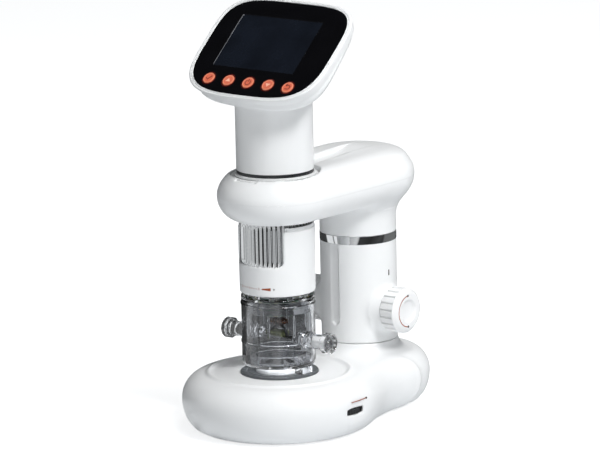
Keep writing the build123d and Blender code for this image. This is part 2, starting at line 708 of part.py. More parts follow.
# ---------------------------------------------------------------- parts
arm_upper, arm_lower = arm_halves()
PARTS = {
    "base_shell": base_shell(),
    "base_bottom_plate": base_bottom_plate(),
    "rubber_feet": rubber_feet(),
    "base_screws": base_screws(),
    "base_weight": base_weight(),
    "stage_disc": stage_disc(),
    "stage_diffuser": stage_diffuser(),
    "stage_light_board": stage_light_board(),
    "stage_light_led": stage_light_led(),
    "dimmer_board": dimmer_board(),
    "dimmer_control": dimmer_control(),
    "dimmer_wheel": dimmer_wheel(),
    "power_socket": power_socket(),
    "column_shell": column_shell(),
    "column_band": column_band(),
    "column_guide": column_guide(),
    "knob_bushes": knob_bushes(),
    "arm_upper_shell": arm_upper,
    "arm_lower_shell": arm_lower,
    "lift_tube": lift_tube(),
    "focus_rack": focus_rack(),
    "focus_shaft": focus_shaft(),
    "focus_pinion": pinion(),
    "height_knob_left": height_knob(-1),
    "height_knob_right": height_knob(1),
    "swivel_collar": swivel_collar(),
    "neck_ring": neck_ring(),
    "inner_barrel": inner_barrel(),
    "lower_shroud": lower_shroud(),
    "focus_ring": focus_ring(),
    "lens_barrel": lens_barrel(),
    "objective_lens": objective_lens(),
    "sensor_board": sensor_board(),
    "light_ring_board": light_ring_board(),
    "ring_lights": ring_lights(),
    "head_back_shell": head_back_shell(),
    "head_bezel": head_bezel(),
    "screen_glass": screen_glass(),
    "lcd_panel": lcd_panel(),
    "key_board": key_board(),
    "key_switches": key_switches(),
    "main_board": main_board(),
    "battery": battery(),
    "charging_socket": charging_socket(),
    "card_socket": card_socket(),
    "head_screws": head_screws(),
    "chamber_body": chamber_body(),
    "chamber_lid": chamber_lid(),
    "chamber_foot": chamber_foot(),
    "specimen_knob_left": specimen_knob(-1),
    "specimen_knob_right": specimen_knob(1),
    "specimen_cradle": specimen_cradle(),
    "specimen_pad": specimen_pad(),
    "specimen_clip": specimen_clip(),
    "specimen_beetle": specimen_beetle(),
}
for index, name in enumerate(BUTTON_NAMES):
    PARTS["button_" + name] = button(index)

os.makedirs("parts", exist_ok=True)
for name, shape in PARTS.items():
    solids = Compound(children=list(shape)) if isinstance(shape, list) else shape
    export_step(solids, f"parts/{name}.step")
print(len(PARTS), "parts written")
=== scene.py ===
"""Looks of the kids' microscope, round the CAD frame: skins, clear chamber, chrome, screen and keys.

Sizes are in millimetres and come from the CAD nodes' boxes where a node has them.  MM turns them into metres.
"""
import json
from math import cos, hypot, pi, radians, sin

import bpy
import numpy as np
from mathutils import Matrix, Vector


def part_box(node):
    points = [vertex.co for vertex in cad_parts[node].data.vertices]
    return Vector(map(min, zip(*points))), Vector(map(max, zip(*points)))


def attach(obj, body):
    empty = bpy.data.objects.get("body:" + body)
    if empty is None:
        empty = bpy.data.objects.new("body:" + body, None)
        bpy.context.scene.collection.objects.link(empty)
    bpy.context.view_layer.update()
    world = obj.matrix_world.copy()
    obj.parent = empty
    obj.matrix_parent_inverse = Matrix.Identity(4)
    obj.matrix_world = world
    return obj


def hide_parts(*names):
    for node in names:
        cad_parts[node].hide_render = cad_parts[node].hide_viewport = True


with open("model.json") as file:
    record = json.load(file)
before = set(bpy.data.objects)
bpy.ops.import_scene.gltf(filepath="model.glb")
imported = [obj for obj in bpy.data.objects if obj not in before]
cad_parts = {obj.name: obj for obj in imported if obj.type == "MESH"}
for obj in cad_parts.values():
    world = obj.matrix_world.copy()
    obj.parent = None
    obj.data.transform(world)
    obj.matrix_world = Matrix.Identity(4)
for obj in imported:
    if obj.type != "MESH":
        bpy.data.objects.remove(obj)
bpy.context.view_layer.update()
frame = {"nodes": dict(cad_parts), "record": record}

MM = 0.001


class Place:
    """The box of a CAD node, in millimetres."""

    def __init__(self, node):
        low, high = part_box(node)
        self.x0, self.y0, self.z0 = (v / MM for v in low)
        self.x1, self.y1, self.z1 = (v / MM for v in high)
        self.x = (self.x0 + self.x1) / 2
        self.y = (self.y0 + self.y1) / 2
        self.z = (self.z0 + self.z1) / 2


# ---------------------------------------------------------------- places and sizes
neck = Place("neck_ring")
band = Place("column_band")
base = Place("base_shell")
under = Place("base_bottom_plate")
knob = Place("height_knob_right")
stage = Place("stage_disc")
puck = Place("stage_diffuser")
collar = Place("swivel_collar")
shroud = Place("lower_shroud")
grip = Place("focus_ring")
drum = Place("chamber_body")
lid = Place("chamber_lid")
foot = Place("chamber_foot")
wheel = Place("dimmer_wheel")
clip = Place("specimen_clip")
pad = Place("specimen_pad")
clear_knob = Place("specimen_knob_right")
arm_low = Place("arm_lower_shell")
arm_high = Place("arm_upper_shell")
plug_hole = Place("power_socket")
charge_hole = Place("charging_socket")
card_hole = Place("card_socket")

TUBE_Y = neck.y
COLUMN_Y = band.y
TUBE_R = neck.x1 + 0.1
COLUMN_R = band.x1 - 0.1
KNOB_Z = knob.z
KNOB_R = (knob.z1 - knob.z0) / 2
SEAM_Z = Place("column_shell").z0
WALL = 2.2

BASE_WAIST_Z = 18.6       # height of the base's widest outline
BASE_FRONT_R = base.x1 - 0.3
BASE_REAR_R = 40.5
WAIST_HALF = (51.0, 39.0)  # half widths of the base's tapering middle, front and rear
WAIST_FRONT_Y = -12.0     # where the base starts to taper towards the column
BASE_REAR_Y = base.y1 - BASE_REAR_R
BASE_TOP_Z = 33.0
RIDGE_R = 41.3
PLATE_INSET = 13.8        # how far the underside's plate lies inside the widest outline
SCREW_SPOTS = [(side * x, y) for side in (-1, 1) for x, y in ((30, TUBE_Y - 20), (22, BASE_REAR_Y + 8))]
FOOT_SPOTS = [(side * x, y) for side in (-1, 1) for x, y in ((36, TUBE_Y - 8), (12, BASE_REAR_Y + 14))]

ARM_Z = arm_low.z1
ARM_R = arm_low.x1
RAIL_R = 14.5             # round section of the arm's rim
CHANNEL_HALF = 7.2        # the shallow channel along the arm's top
CHANNEL_DEPTH = 2.8

SCREEN_TILT = radians(41.84)
GLASS_HALF = (46.4, 34.5)
HEAD_HALF = (48.8, 36.9)
HEAD_WALL = 6.0
WALL_TAPER = 1.5          # how much narrower the frame is at its back
BOWL_DEPTH = 21.5
BOWL_ROUNDNESS = 1.5      # 1 is a cone, 2 an ellipsoid
GLASS_CENTRE = Vector((0, TUBE_Y - 3.7, 223.6))
LCD_HALF = (29.8, 19.2)
LCD_CENTRE = (-2.7, 3.6)
BUTTON_V = -25.2
BUTTON_STEP = 14.6
BUTTON_R = 3.7

AXIS_U = Vector((1, 0, 0))
AXIS_W = Vector((0, -sin(SCREEN_TILT), cos(SCREEN_TILT)))
AXIS_V = AXIS_W.cross(AXIS_U)


# ---------------------------------------------------------------- materials
def new_material(name):
    material = bpy.data.materials.new(name)
    material.use_nodes = True
    tree = material.node_tree
    return material, tree, tree.nodes["Principled BSDF"]


def noise(tree, scale, detail=3.0, stretch=(1, 1, 1)):
    """Noise over the object's own coordinates; scale is in features per metre."""
    where = tree.nodes.new("ShaderNodeTexCoord")
    mapping = tree.nodes.new("ShaderNodeMapping")
    mapping.inputs["Scale"].default_value = stretch
    texture = tree.nodes.new("ShaderNodeTexNoise")
    texture.inputs["Scale"].default_value = scale
    texture.inputs["Detail"].default_value = detail
    tree.links.new(where.outputs["Object"], mapping.inputs["Vector"])
    tree.links.new(mapping.outputs["Vector"], texture.inputs["Vector"])
    return texture.outputs["Fac"]


def spread(tree, value, low, high):
    """Maps a noise, which runs from about 0.3 to 0.7, to low..high."""
    node = tree.nodes.new("ShaderNodeMapRange")
    node.inputs["From Min"].default_value = 0.3
    node.inputs["From Max"].default_value = 0.7
    node.inputs["To Min"].default_value = low
    node.inputs["To Max"].default_value = high
    tree.links.new(value, node.inputs["Value"])
    return node.outputs["Result"]


def tint(tree, value, dark, light):
    node = tree.nodes.new("ShaderNodeMix")
    node.data_type = "RGBA"
    node.inputs["A"].default_value = (*dark, 1)
    node.inputs["B"].default_value = (*light, 1)
    tree.links.new(spread(tree, value, 0, 1), node.inputs["Factor"])
    return node.outputs["Result"]


def rough_bump(tree, shader, value, height):
    node = tree.nodes.new("ShaderNodeBump")
    node.inputs["Strength"].default_value = 1.0
    node.inputs["Distance"].default_value = height
    tree.links.new(value, node.inputs["Height"])
    tree.links.new(node.outputs["Normal"], shader.inputs["Normal"])


def finish(name, colour, rough, vary=0.04, grain=600, height=0.00001, metallic=0.0, coat=0.0,
           specular=0.5, colour_grain=60, stretch=(1, 1, 1), rough_vary=0.3):
    """An opaque finish: slow colour drift, a finer roughness drift and a fine moulded grain."""
    material, tree, shader = new_material(name)
    dark = tuple(c * (1 - vary) for c in colour)
    light = tuple(min(1, c * (1 + vary)) for c in colour)
    tree.links.new(tint(tree, noise(tree, colour_grain), dark, light), shader.inputs["Base Color"])
    drift = spread(tree, noise(tree, grain / 4), rough * (1 - rough_vary), rough * (1 + rough_vary))
    tree.links.new(drift, shader.inputs["Roughness"])
    rough_bump(tree, shader, noise(tree, grain, 2.0, stretch), height)
    shader.inputs["Metallic"].default_value = metallic
    shader.inputs["Coat Weight"].default_value = coat
    shader.inputs["Coat Roughness"].default_value = 0.06
    shader.inputs["Specular IOR Level"].default_value = specular
    return material


def clear_finish(name, colour, rough=0.02):
    """Clear moulded plastic with slow flow waves in its surface."""
    material, tree, shader = new_material(name)
    shader.inputs["Base Color"].default_value = (*colour, 1)
    shader.inputs["Transmission Weight"].default_value = 1.0
    shader.inputs["IOR"].default_value = 1.49
    tree.links.new(spread(tree, noise(tree, 300), rough * 0.5, rough * 1.8), shader.inputs["Roughness"])
    rough_bump(tree, shader, noise(tree, 160, 2.0), 0.00006)
    return material


def board_finish(name):
    """Green circuit board with faint copper tracks."""
    material, tree, shader = new_material(name)
    where = tree.nodes.new("ShaderNodeTexCoord")
    tracks = tree.nodes.new("ShaderNodeTexBrick")
    tracks.inputs["Scale"].default_value = 180
    tracks.inputs["Mortar Size"].default_value = 0.06
    tracks.inputs["Color1"].default_value = (0.010, 0.090, 0.045, 1)
    tracks.inputs["Color2"].default_value = (0.012, 0.075, 0.040, 1)
    tracks.inputs["Mortar"].default_value = (0.03, 0.20, 0.09, 1)
    tree.links.new(where.outputs["Object"], tracks.inputs["Vector"])
    tree.links.new(tracks.outputs["Color"], shader.inputs["Base Color"])
    rough_bump(tree, shader, tracks.outputs["Fac"], 0.00003)
    tree.links.new(spread(tree, noise(tree, 400), 0.3, 0.5), shader.inputs["Roughness"])
    return material


WHITE = finish("white_abs", (0.85, 0.86, 0.865), 0.34, vary=0.006, grain=1200, height=0.000002,
               rough_vary=0.06)
KNOB_WHITE = finish("knob_abs", (0.85, 0.855, 0.86), 0.4, vary=0.008, grain=1500, height=0.000006,
                    rough_vary=0.1)
COLLAR_WHITE = finish("collar_abs", (0.84, 0.845, 0.85), 0.3, vary=0.015, grain=700)
CHROME = finish("chrome_plate", (0.80, 0.81, 0.82), 0.05, vary=0.02, grain=500, height=0.000002, metallic=1.0)
BLACK = finish("black_abs", (0.016, 0.017, 0.019), 0.36, vary=0.15, grain=900, height=0.00002)
STAGE_BLACK = finish("stage_black", (0.075, 0.082, 0.088), 0.42, vary=0.12, grain=1400, height=0.00003)
GLASS_BLACK = finish("screen_print", (0.0022, 0.0022, 0.0030), 0.06, vary=0.2, grain=150, height=0.000001,
                     specular=0.2)
LCD_DARK = finish("lcd_off", (0.006, 0.008, 0.013), 0.09, vary=0.25, grain=150, height=0.000001,
                  specular=0.2)
# painted highlight: a lighter metallic grey for a strip on the panel's left edge
LCD_EDGE_HIGHLIGHT = finish("lcd_edge_painted_highlight", (0.30, 0.31, 0.33), 0.25, vary=0.3, grain=900, metallic=0.6)
# painted glow: dark red rings on the glass round the keys
KEY_GLOW_PAINT = finish("key_glow_painted", (0.085, 0.006, 0.004), 0.25, vary=0.2, grain=900)
ORANGE = finish("key_orange", (0.70, 0.15, 0.08), 0.38, vary=0.06, grain=1500, height=0.00001)
# painted highlight: a lighter copy of the keys' orange for their raised rims
ORANGE_RIM_HIGHLIGHT = finish("key_rim_painted_highlight", (0.82, 0.25, 0.14), 0.32, vary=0.06, grain=1500)
ICON_DARK = finish("icon_brown", (0.16, 0.012, 0.008), 0.45, vary=0.2, grain=1500)
ICON_LIGHT = finish("icon_cream", (0.94, 0.55, 0.40), 0.4, vary=0.05, grain=1500)
PRINT_BROWN = finish("print_brown", (0.33, 0.075, 0.03), 0.45, vary=0.15, grain=2500)
PRINT_DARK = finish("print_grey", (0.055, 0.040, 0.036), 0.5, vary=0.2, grain=2500)
PLATE_GREY = finish("plate_abs", (0.62, 0.63, 0.64), 0.5, vary=0.03, grain=1200, height=0.00003)
RUBBER = finish("foot_rubber", (0.035, 0.036, 0.038), 0.75, vary=0.2, grain=2500, height=0.00004)
STEEL = finish("turned_steel", (0.56, 0.57, 0.58), 0.27, vary=0.06, grain=1500, metallic=1.0,
               stretch=(1, 1, 8))
BRASS = finish("brass", (0.75, 0.52, 0.22), 0.28, vary=0.08, grain=1200, metallic=1.0)
SOCKET = finish("socket_tin", (0.52, 0.53, 0.55), 0.32, vary=0.08, grain=1800, metallic=1.0)
WHEEL_GREY = finish("wheel_grey", (0.03, 0.031, 0.033), 0.45, vary=0.12, grain=1800, height=0.00002)
DIFFUSER = finish("puck_acrylic", (0.80, 0.82, 0.84), 0.12, vary=0.04, grain=220, height=0.00001, coat=0.8)
LED_YELLOW = finish("led_phosphor", (0.85, 0.70, 0.22), 0.4, vary=0.1, grain=3000)
WRAP = finish("battery_wrap", (0.06, 0.16, 0.34), 0.35, vary=0.1, grain=500, height=0.00004)
OLIVE = finish("olive_card", (0.055, 0.065, 0.025), 0.6, vary=0.35, grain=2200, height=0.0001,
               colour_grain=500)
CLIP_DARK = finish("clip_steel", (0.05, 0.052, 0.055), 0.35, vary=0.2, grain=1500, metallic=0.7)
CHITIN = finish("chitin", (0.030, 0.012, 0.006), 0.28, vary=0.5, grain=2600, height=0.00006, colour_grain=700)
CLEAR = clear_finish("clear_ps", (0.93, 0.94, 0.96))
CLEAR_KNOB = clear_finish("clear_knob_ps", (0.96, 0.965, 0.975))
LENS = clear_finish("lens_glass", (0.93, 0.96, 0.97), 0.005)
BOARD = board_finish("circuit_board")


# ---------------------------------------------------------------- mesh helpers
def add_piece(name, points, faces, materials, body, replaces=(), normals=None, face_materials=None,
              sharp=32):
    """One visible piece from points in millimetres, riding on a body and standing for its CAD nodes."""
    mesh = bpy.data.meshes.new(name)
    mesh.from_pydata((np.asarray(points, float) * MM).tolist(), [], [list(f) for f in faces])
    mesh.validate()
    for material in materials:
        mesh.materials.append(material)
    if face_materials is not None:
        mesh.polygons.foreach_set("material_index", np.asarray(face_materials, np.int32))
    mesh.polygons.foreach_set("use_smooth", np.ones(len(mesh.polygons), bool))
    if normals is not None:
        mesh.normals_split_custom_set(normals)
    else:
        mesh.set_sharp_from_angle(angle=radians(sharp))
    mesh.update()
    piece = bpy.data.objects.new(name, mesh)
    bpy.context.scene.collection.objects.link(piece)
    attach(piece, body)
    if replaces:
        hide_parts(*replaces)
    return piece


class Build:
    """Collects points, faces and material numbers of a piece made of several closed bodies."""

    def __init__(self):
        self.points = []
        self.faces = []
        self.marks = []

    def add(self, points, faces, mark=0, place=None):
        points = np.asarray(points, float)
        if place is not None:
            turn = np.array(place)
            points = points @ turn[:3, :3].T + turn[:3, 3]
        first = sum(len(p) for p in self.points)
        self.points.append(points)
        self.faces += [[i + first for i in face] for face in faces]
        marks = mark if isinstance(mark, list) else [mark] * len(faces)
        self.marks += marks
        return self

    def piece(self, name, materials, body, slot, replaces=(), sharp=32):
        return add_piece(name, np.concatenate(self.points), self.faces, materials, body, replaces,
                         face_materials=self.marks, sharp=sharp)


def rounded(corners, steps=4):
    """Outline of (a, b, radius) corners, each rounded by an arc."""
    out = []
    count = len(corners)
    for i in range(count):
        a, b, radius = corners[i]
        here = Vector((a, b))
        if radius <= 0:
            out.append((a, b))
            continue
        back = Vector(corners[i - 1][:2]) - here
        ahead = Vector(corners[(i + 1) % count][:2]) - here
        angle = back.angle(ahead)
        reach = min(radius / np.tan(angle / 2), back.length * 0.5, ahead.length * 0.5)
        start = here + back.normalized() * reach
        end = here + ahead.normalized() * reach
        for k in range(steps + 1):
            t = k / steps
            point = start * (1 - t) ** 2 + here * 2 * t * (1 - t) + end * t ** 2
            out.append((point.x, point.y))
    return out


def turned(section, segments=96, bend=None, closed=True):
    """Points and faces of a closed (radius, height) section turned about Z.

    bend takes arrays of radius, angle and height and returns the new radius.
    """
    r = np.array([max(p[0], 0.0) for p in section])
    h = np.array([p[1] for p in section])
    angle = 2 * pi * np.arange(segments) / segments
    radius = np.repeat(r[:, None], segments, 1)
    height = np.repeat(h[:, None], segments, 1)
    turn = np.repeat(angle[None, :], len(section), 0)
    if bend:
        radius = bend(radius, turn, height)
    points = np.stack([radius * np.cos(turn), radius * np.sin(turn), height], -1).reshape(-1, 3)
    faces = []
    rows = len(section)
    for i in range(rows if closed else rows - 1):
        j = (i + 1) % rows
        for k in range(segments):
            n = (k + 1) % segments
            faces.append([i * segments + k, i * segments + n, j * segments + n, j * segments + k])
    return drop_poles(points, faces)


def drop_poles(points, faces):
    """Joins coincident points, such as a turned section's ends on its axis, and drops empty faces."""
    keys, index = np.unique(np.round(points, 5), axis=0, return_inverse=True)
    index = index.ravel()
    kept = []
    for face in faces:
        loop = []
        for i in face:
            j = int(index[i])
            if j not in loop:
                loop.append(j)
        if len(loop) > 2:
            kept.append(loop)
    return keys, kept


def at(x=0.0, y=0.0, z=0.0, turn=None):
    place = Matrix.Translation((x, y, z))
    return place @ turn if turn else place


def along_x(side=1):
    """Turns a part made about Z so that it lies along X, its top end outward on that side."""
    return Matrix.Rotation(side * pi / 2, 4, "Y")


SCREEN_TURN = Matrix(((AXIS_U.x, AXIS_V.x, AXIS_W.x, GLASS_CENTRE.x),
                      (AXIS_U.y, AXIS_V.y, AXIS_W.y, GLASS_CENTRE.y),
                      (AXIS_U.z, AXIS_V.z, AXIS_W.z, GLASS_CENTRE.z),
                      (0, 0, 0, 1)))


def on_screen(u=0.0, v=0.0, w=0.0):
    return SCREEN_TURN @ Matrix.Translation((u, v, w))


def slab(loops, low, high, bevel=0.0):
    """A plate with holes: its first loop is the outline.  Its edges are bevelled."""
    curve = bpy.data.curves.new("slab", "CURVE")
    curve.dimensions = "2D"
    curve.fill_mode = "BOTH"
    curve.extrude = ((high - low) / 2 - bevel) * MM
    curve.bevel_depth = bevel * MM
    curve.bevel_resolution = 1
    curve.offset = -bevel * MM
    for loop in loops:
        spline = curve.splines.new("POLY")
        spline.points.add(len(loop) - 1)
        spline.use_cyclic_u = True
        for point, (a, b) in zip(spline.points, loop):
            point.co = (a * MM, b * MM, 0, 1)
    holder = bpy.data.objects.new("slab", curve)
    mesh = bpy.data.meshes.new_from_object(holder)
    points = np.array([tuple(v.co) for v in mesh.vertices]) / MM
    points[:, 2] += (low + high) / 2
    faces = [list(p.vertices) for p in mesh.polygons]
    bpy.data.objects.remove(holder)
    bpy.data.curves.remove(curve)
    bpy.data.meshes.remove(mesh)
    return drop_poles(points, faces)


def circle(radius, x=0.0, y=0.0, count=48):
    turns = [2 * pi * i / count for i in range(count)]
    return [(x + radius * cos(t), y + radius * sin(t)) for t in turns]


def oblong(du, dv, radius, x=0.0, y=0.0):
    corners = [(du, dv), (-du, dv), (-du, -dv), (du, -dv)]
    return [(x + a, y + b) for a, b in rounded([(a, b, radius) for a, b in corners], 6)]


def block(x0, x1, y0, y1, z0, z1, bevel=0.3):
    """A bar with bevelled edges all round."""
    loop = oblong((x1 - x0) / 2, (y1 - y0) / 2, bevel, (x0 + x1) / 2, (y0 + y1) / 2)
    return slab([loop], z0, z1, bevel * 0.6)


def wire(path, radius, sides=8, taper=1.0):
    """A round bar along a list of points, closed at both ends; its far end is taper times as thick."""
    path = [Vector(p) for p in path]
    points = []
    count = len(path)
    side = Vector((0.3, 0.2, 0.93))
    for i, here in enumerate(path):
        way = (path[min(i + 1, count - 1)] - path[max(i - 1, 0)]).normalized()
        across = way.cross(side).normalized()
        up = across.cross(way)
        r = radius * (1 + (taper - 1) * i / (count - 1))
        for k in range(sides):
            t = 2 * pi * k / sides
            points.append(here + across * (r * cos(t)) + up * (r * sin(t)))
    faces = []
    for i in range(count - 1):
        for k in range(sides):
            n = (k + 1) % sides
            faces.append([i * sides + k, i * sides + n, (i + 1) * sides + n, (i + 1) * sides + k])
    faces.append(list(range(sides))[::-1])
    faces.append([(count - 1) * sides + k for k in range(sides)])
    return [tuple(p) for p in points], faces


# ---------------------------------------------------------------- signed fields and their surfaces
def soft_min(a, b, k):
    """Union of two fields with a fillet of about k/2 between them."""
    h = np.maximum(k - np.abs(a - b), 0) / k
    return np.minimum(a, b) - h * h * k / 4


def soft_max(a, b, k):
    return -soft_min(-a, -b, k)


def smooth_step(x, low, high):
    t = np.clip((x - low) / (high - low), 0, 1)
    return t * t * (3 - 2 * t)


def radius_from(p, y):
    return np.hypot(p[:, 0], p[:, 1] - y)


def gradient(field, p, e=0.02):
    out = np.empty_like(p)
    for axis in range(3):
        d = np.zeros(3)
        d[axis] = e
        out[:, axis] = (field(p + d) - field(p - d)) / (2 * e)
    return out


def slope(field, p):
    """Unit direction in which the field grows."""
    out = gradient(field, p)
    return out / np.maximum(np.linalg.norm(out, axis=1, keepdims=True), 1e-9)


def crossings(field, value, low, step, axis):
    """Points where the field changes sign along the grid's edges of one axis."""
    inside = value < 0
    here = [slice(None)] * 3
    ahead = [slice(None)] * 3
    here[axis] = slice(None, -1)
    ahead[axis] = slice(1, None)
    edge = np.argwhere(inside[tuple(here)] != inside[tuple(ahead)])
    way = np.eye(3)[axis] * step
    a = low + edge * step
    b = a + way
    fa = value[tuple(edge.T)]
    fb = value[tuple((edge + np.eye(3, dtype=int)[axis]).T)]
    flips = fa < 0
    for _ in range(5):
        t = np.clip(fa / (fa - fb), 0.02, 0.98)[:, None]
        middle = a + (b - a) * t
        fm = field(middle)
        same = (fm < 0) == (fa < 0)
        a[same], fa[same] = middle[same], fm[same]
        b[~same], fb[~same] = middle[~same], fm[~same]
    t = (fa / (fa - fb))[:, None]
    return edge, a + (b - a) * t, flips


def contour(field, low, high, step):
    """Points, quads and corner normals of the surface where the field is 0.

    Dual contouring: one point in each cell that the surface crosses, placed where the tangent planes at
    the cell's crossings meet, so sharp edges stay sharp.
    """
    low = np.asarray(low, float)
    counts = np.ceil((np.asarray(high, float) - low) / step).astype(int) + 1
    lines = [low[i] + step * np.arange(counts[i]) for i in range(3)]
    grid = np.stack(np.meshgrid(*lines, indexing="ij"), -1).reshape(-1, 3)
    value = field(grid).reshape(counts)
    strides = np.array([counts[1] * counts[2], counts[2], 1])
    cells, hits, slopes, quads = [], [], [], []
    for axis in range(3):
        edge, hit, flips = crossings(field, value, low, step, axis)
        slant = slope(field, hit)
        first, second = [i for i in range(3) if i != axis]
        corners = []
        for da, db in ((0, 0), (1, 0), (1, 1), (0, 1)):
            cell = edge.copy()
            cell[:, first] -= da
            cell[:, second] -= db
            corners.append(cell @ strides)
            hits.append(hit)
            slopes.append(slant)
        cells += corners
        ring = np.stack(corners, 1)
        reverse = flips if axis == 1 else ~flips
        ring[reverse] = ring[reverse][:, ::-1]
        quads.append(ring)
    cells = np.concatenate(cells)
    hits = np.concatenate(hits)
    slopes = np.concatenate(slopes)
    quads = np.concatenate(quads)
    used, index = np.unique(cells, return_inverse=True)
    index = index.ravel()
    count = np.bincount(index).astype(float)

    def total(weights):
        return np.bincount(index, weights, len(used))

    centre = np.stack([total(hits[:, i]) for i in range(3)], 1) / count[:, None]
    offset = np.einsum("ij,ij->i", slopes, hits - centre[index])
    normal = np.empty((len(used), 3, 3))
    pull = np.empty((len(used), 3))
    for i in range(3):
        pull[:, i] = total(slopes[:, i] * offset)
        for j in range(3):
            normal[:, i, j] = total(slopes[:, i] * slopes[:, j])
    normal += np.eye(3) * (0.03 * count)[:, None, None]
    points = centre + np.linalg.solve(normal, pull[:, :, None])[:, :, 0]
    corner = np.stack(np.unravel_index(used, counts), 1) * step + low
    points = np.clip(points, corner, corner + step)
    for _ in range(2):      # two steps onto the surface, inside the cell
        points = np.clip(points - slope(field, points) * field(points)[:, None] * 0.7, corner, corner + step)
    quads = np.searchsorted(used, quads)
    # smooth parts are evened out along the surface; points at or next to an edge stay where they are
    agree = np.linalg.norm(np.stack([total(slopes[:, i]) for i in range(3)], 1), axis=1) / count
    for _ in range(2):
        flattest = np.repeat(agree[quads].min(1), 4)
        np.minimum.at(agree, quads.ravel(), flattest)
    free = smooth_step(agree, 0.975, 0.995)[:, None] * 0.7
    users = quads.ravel()
    joined = np.bincount(users, minlength=len(used))[:, None]
    for _ in range(4):
        middle = points[quads].mean(1)
        shares = [np.bincount(users, np.repeat(middle[:, i], 4), len(used)) for i in range(3)]
        around = np.stack(shares, 1)
        points = points + (around / joined - points) * free
        pull = gradient(field, points)
        reach = field(points) / np.maximum((pull ** 2).sum(1), 0.05)
        points = points - pull * reach[:, None] * (free > 0)
    middle = points[quads].mean(1)
    near = points[quads] * 0.75 + middle[:, None] * 0.25
    normals = slope(field, near.reshape(-1, 3))
    return points, quads, normals


def skin(name, field, low, high, step, material, body, replaces):
    points, quads, normals = contour(field, low, high, step)
    return add_piece(name, points, quads, [material], body, replaces, normals=normals)


# ---------------------------------------------------------------- base
def base_plan(p):
    """Distance outside the base's widest outline, seen from above: two discs and a tapering bridge."""
    front = radius_from(p, TUBE_Y) - BASE_FRONT_R
    rear = radius_from(p, BASE_REAR_Y) - BASE_REAR_R
    along = np.clip((p[:, 1] - WAIST_FRONT_Y) / (COLUMN_Y - WAIST_FRONT_Y), 0, 1)
    half = WAIST_HALF[0] + (WAIST_HALF[1] - WAIST_HALF[0]) * along
    bridge = np.maximum(np.abs(p[:, 0]) - half, np.maximum(p[:, 1] - BASE_REAR_Y, TUBE_Y - p[:, 1]))
    return soft_min(soft_min(front, rear, 8.0), bridge, 9.0)


def rounded_edge(plan, z, inset):
    """The base's section: an ellipse's quarter above the waist and a taller one below it."""
    above = z > BASE_WAIST_Z
    wide = np.where(above, 13.0, 11.0)
    tall = np.where(above, BASE_TOP_Z - BASE_WAIST_Z, BASE_WAIST_Z - base.z0)
    across = np.maximum((plan + wide) / (wide - inset), 0)
    up = np.abs(z - BASE_WAIST_Z) / (tall - inset)
    return (np.hypot(across, up) - 1) * (wide - inset)


def base_outer(p):
    z = p[:, 2]
    column = radius_from(p, COLUMN_Y)
    front = radius_from(p, TUBE_Y)
    body = rounded_edge(base_plan(p), z, 0.0)
    body = body - 1.3 * np.exp(-((front - RIDGE_R) / 1.7) ** 2) * smooth_step(column, 26, 40)
    body = soft_min(body, np.maximum(column - COLUMN_R, z - SEAM_Z), 7.5)
    return soft_max(body, z - SEAM_Z, 0.9)


def base_field(p):
    z = p[:, 2]
    plan = base_plan(p)
    column = radius_from(p, COLUMN_Y)
    front = radius_from(p, TUBE_Y)
    body = base_outer(p)
    inside = np.minimum(rounded_edge(plan, z, 2.4), np.maximum(plan + PLATE_INSET - 0.2, z - 6))
    stage_wall = np.maximum(front - stage.x1 - 2.2, 28.4 - z)
    inside = np.maximum(inside, -stage_wall)
    slot_pad = np.maximum(np.abs(p[:, 1] - TUBE_Y) - 11, np.abs(z - wheel.z) - 5)
    inside = np.maximum(inside, -np.maximum(slot_pad, 55 - p[:, 0]))
    shell = np.maximum(body, -inside)
    shell = np.maximum(shell, -np.maximum(column - COLUMN_R + WALL, 28 - z))
    shell = soft_max(shell, -np.maximum(front - stage.x1 - 0.05, stage.z0 - z), 0.5)
    shell = np.maximum(shell, -np.maximum(front - 12.0, 20 - z))
    return cut_base_holes(p, shell)


def cut_base_holes(p, shell):
    """The thumbwheel's slot in its shallow recess, and the hole of the power socket."""
    x, y, z = p[:, 0], p[:, 1] - TUBE_Y, p[:, 2] - wheel.z
    recess = np.sqrt((y / 11.5) ** 2 + (z / 6.6) ** 2 + ((x - BASE_FRONT_R - 0.5) / 1.5) ** 2)
    shell = soft_max(shell, (1 - recess) * 1.5, 1.6)
    across = np.maximum(np.abs(y) - 6.4, 0)
    up = np.maximum(np.abs(z) - 1.0, 0)
    slot = np.maximum(np.hypot(across, up) - 0.8, 50 - x)
    shell = soft_max(shell, -slot, 0.7)
    socket = np.maximum(np.abs(p[:, 0]) - 4.9, np.abs(p[:, 2] - plug_hole.z) - 1.95)
    return np.maximum(shell, -np.maximum(socket, BASE_REAR_Y + 30 - p[:, 1]))


skin("base_skin", base_field, (base.x0 - 2, base.y0 - 2, base.z0 - 1), (base.x1 + 2, base.y1 + 2, SEAM_Z + 2),
     1.3, WHITE, "stand", ["base_shell"])


def plate_field(p):
    """Plate that closes the base from below: countersunk screw holes and round recesses for the feet."""
    z = p[:, 2]
    body = np.maximum(base_plan(p) + PLATE_INSET, np.maximum(z - under.z1, under.z0 - z))
    for x, y in SCREW_SPOTS:
        r = np.hypot(p[:, 0] - x, p[:, 1] - y)
        body = np.maximum(body, 1.7 - r)
        body = np.maximum(body, -np.maximum(r - 3.0, z - 2.0))
    for x, y in FOOT_SPOTS:
        r = np.hypot(p[:, 0] - x, p[:, 1] - y)
        body = np.maximum(body, -np.maximum(r - 6.0, z - 1.8))
    return body


skin("base_underside", plate_field, (base.x0, base.y0, under.z0 - 0.9),
     (base.x1, base.y1, under.z1 + 0.9), 0.95, PLATE_GREY, "stand", ["base_bottom_plate"])


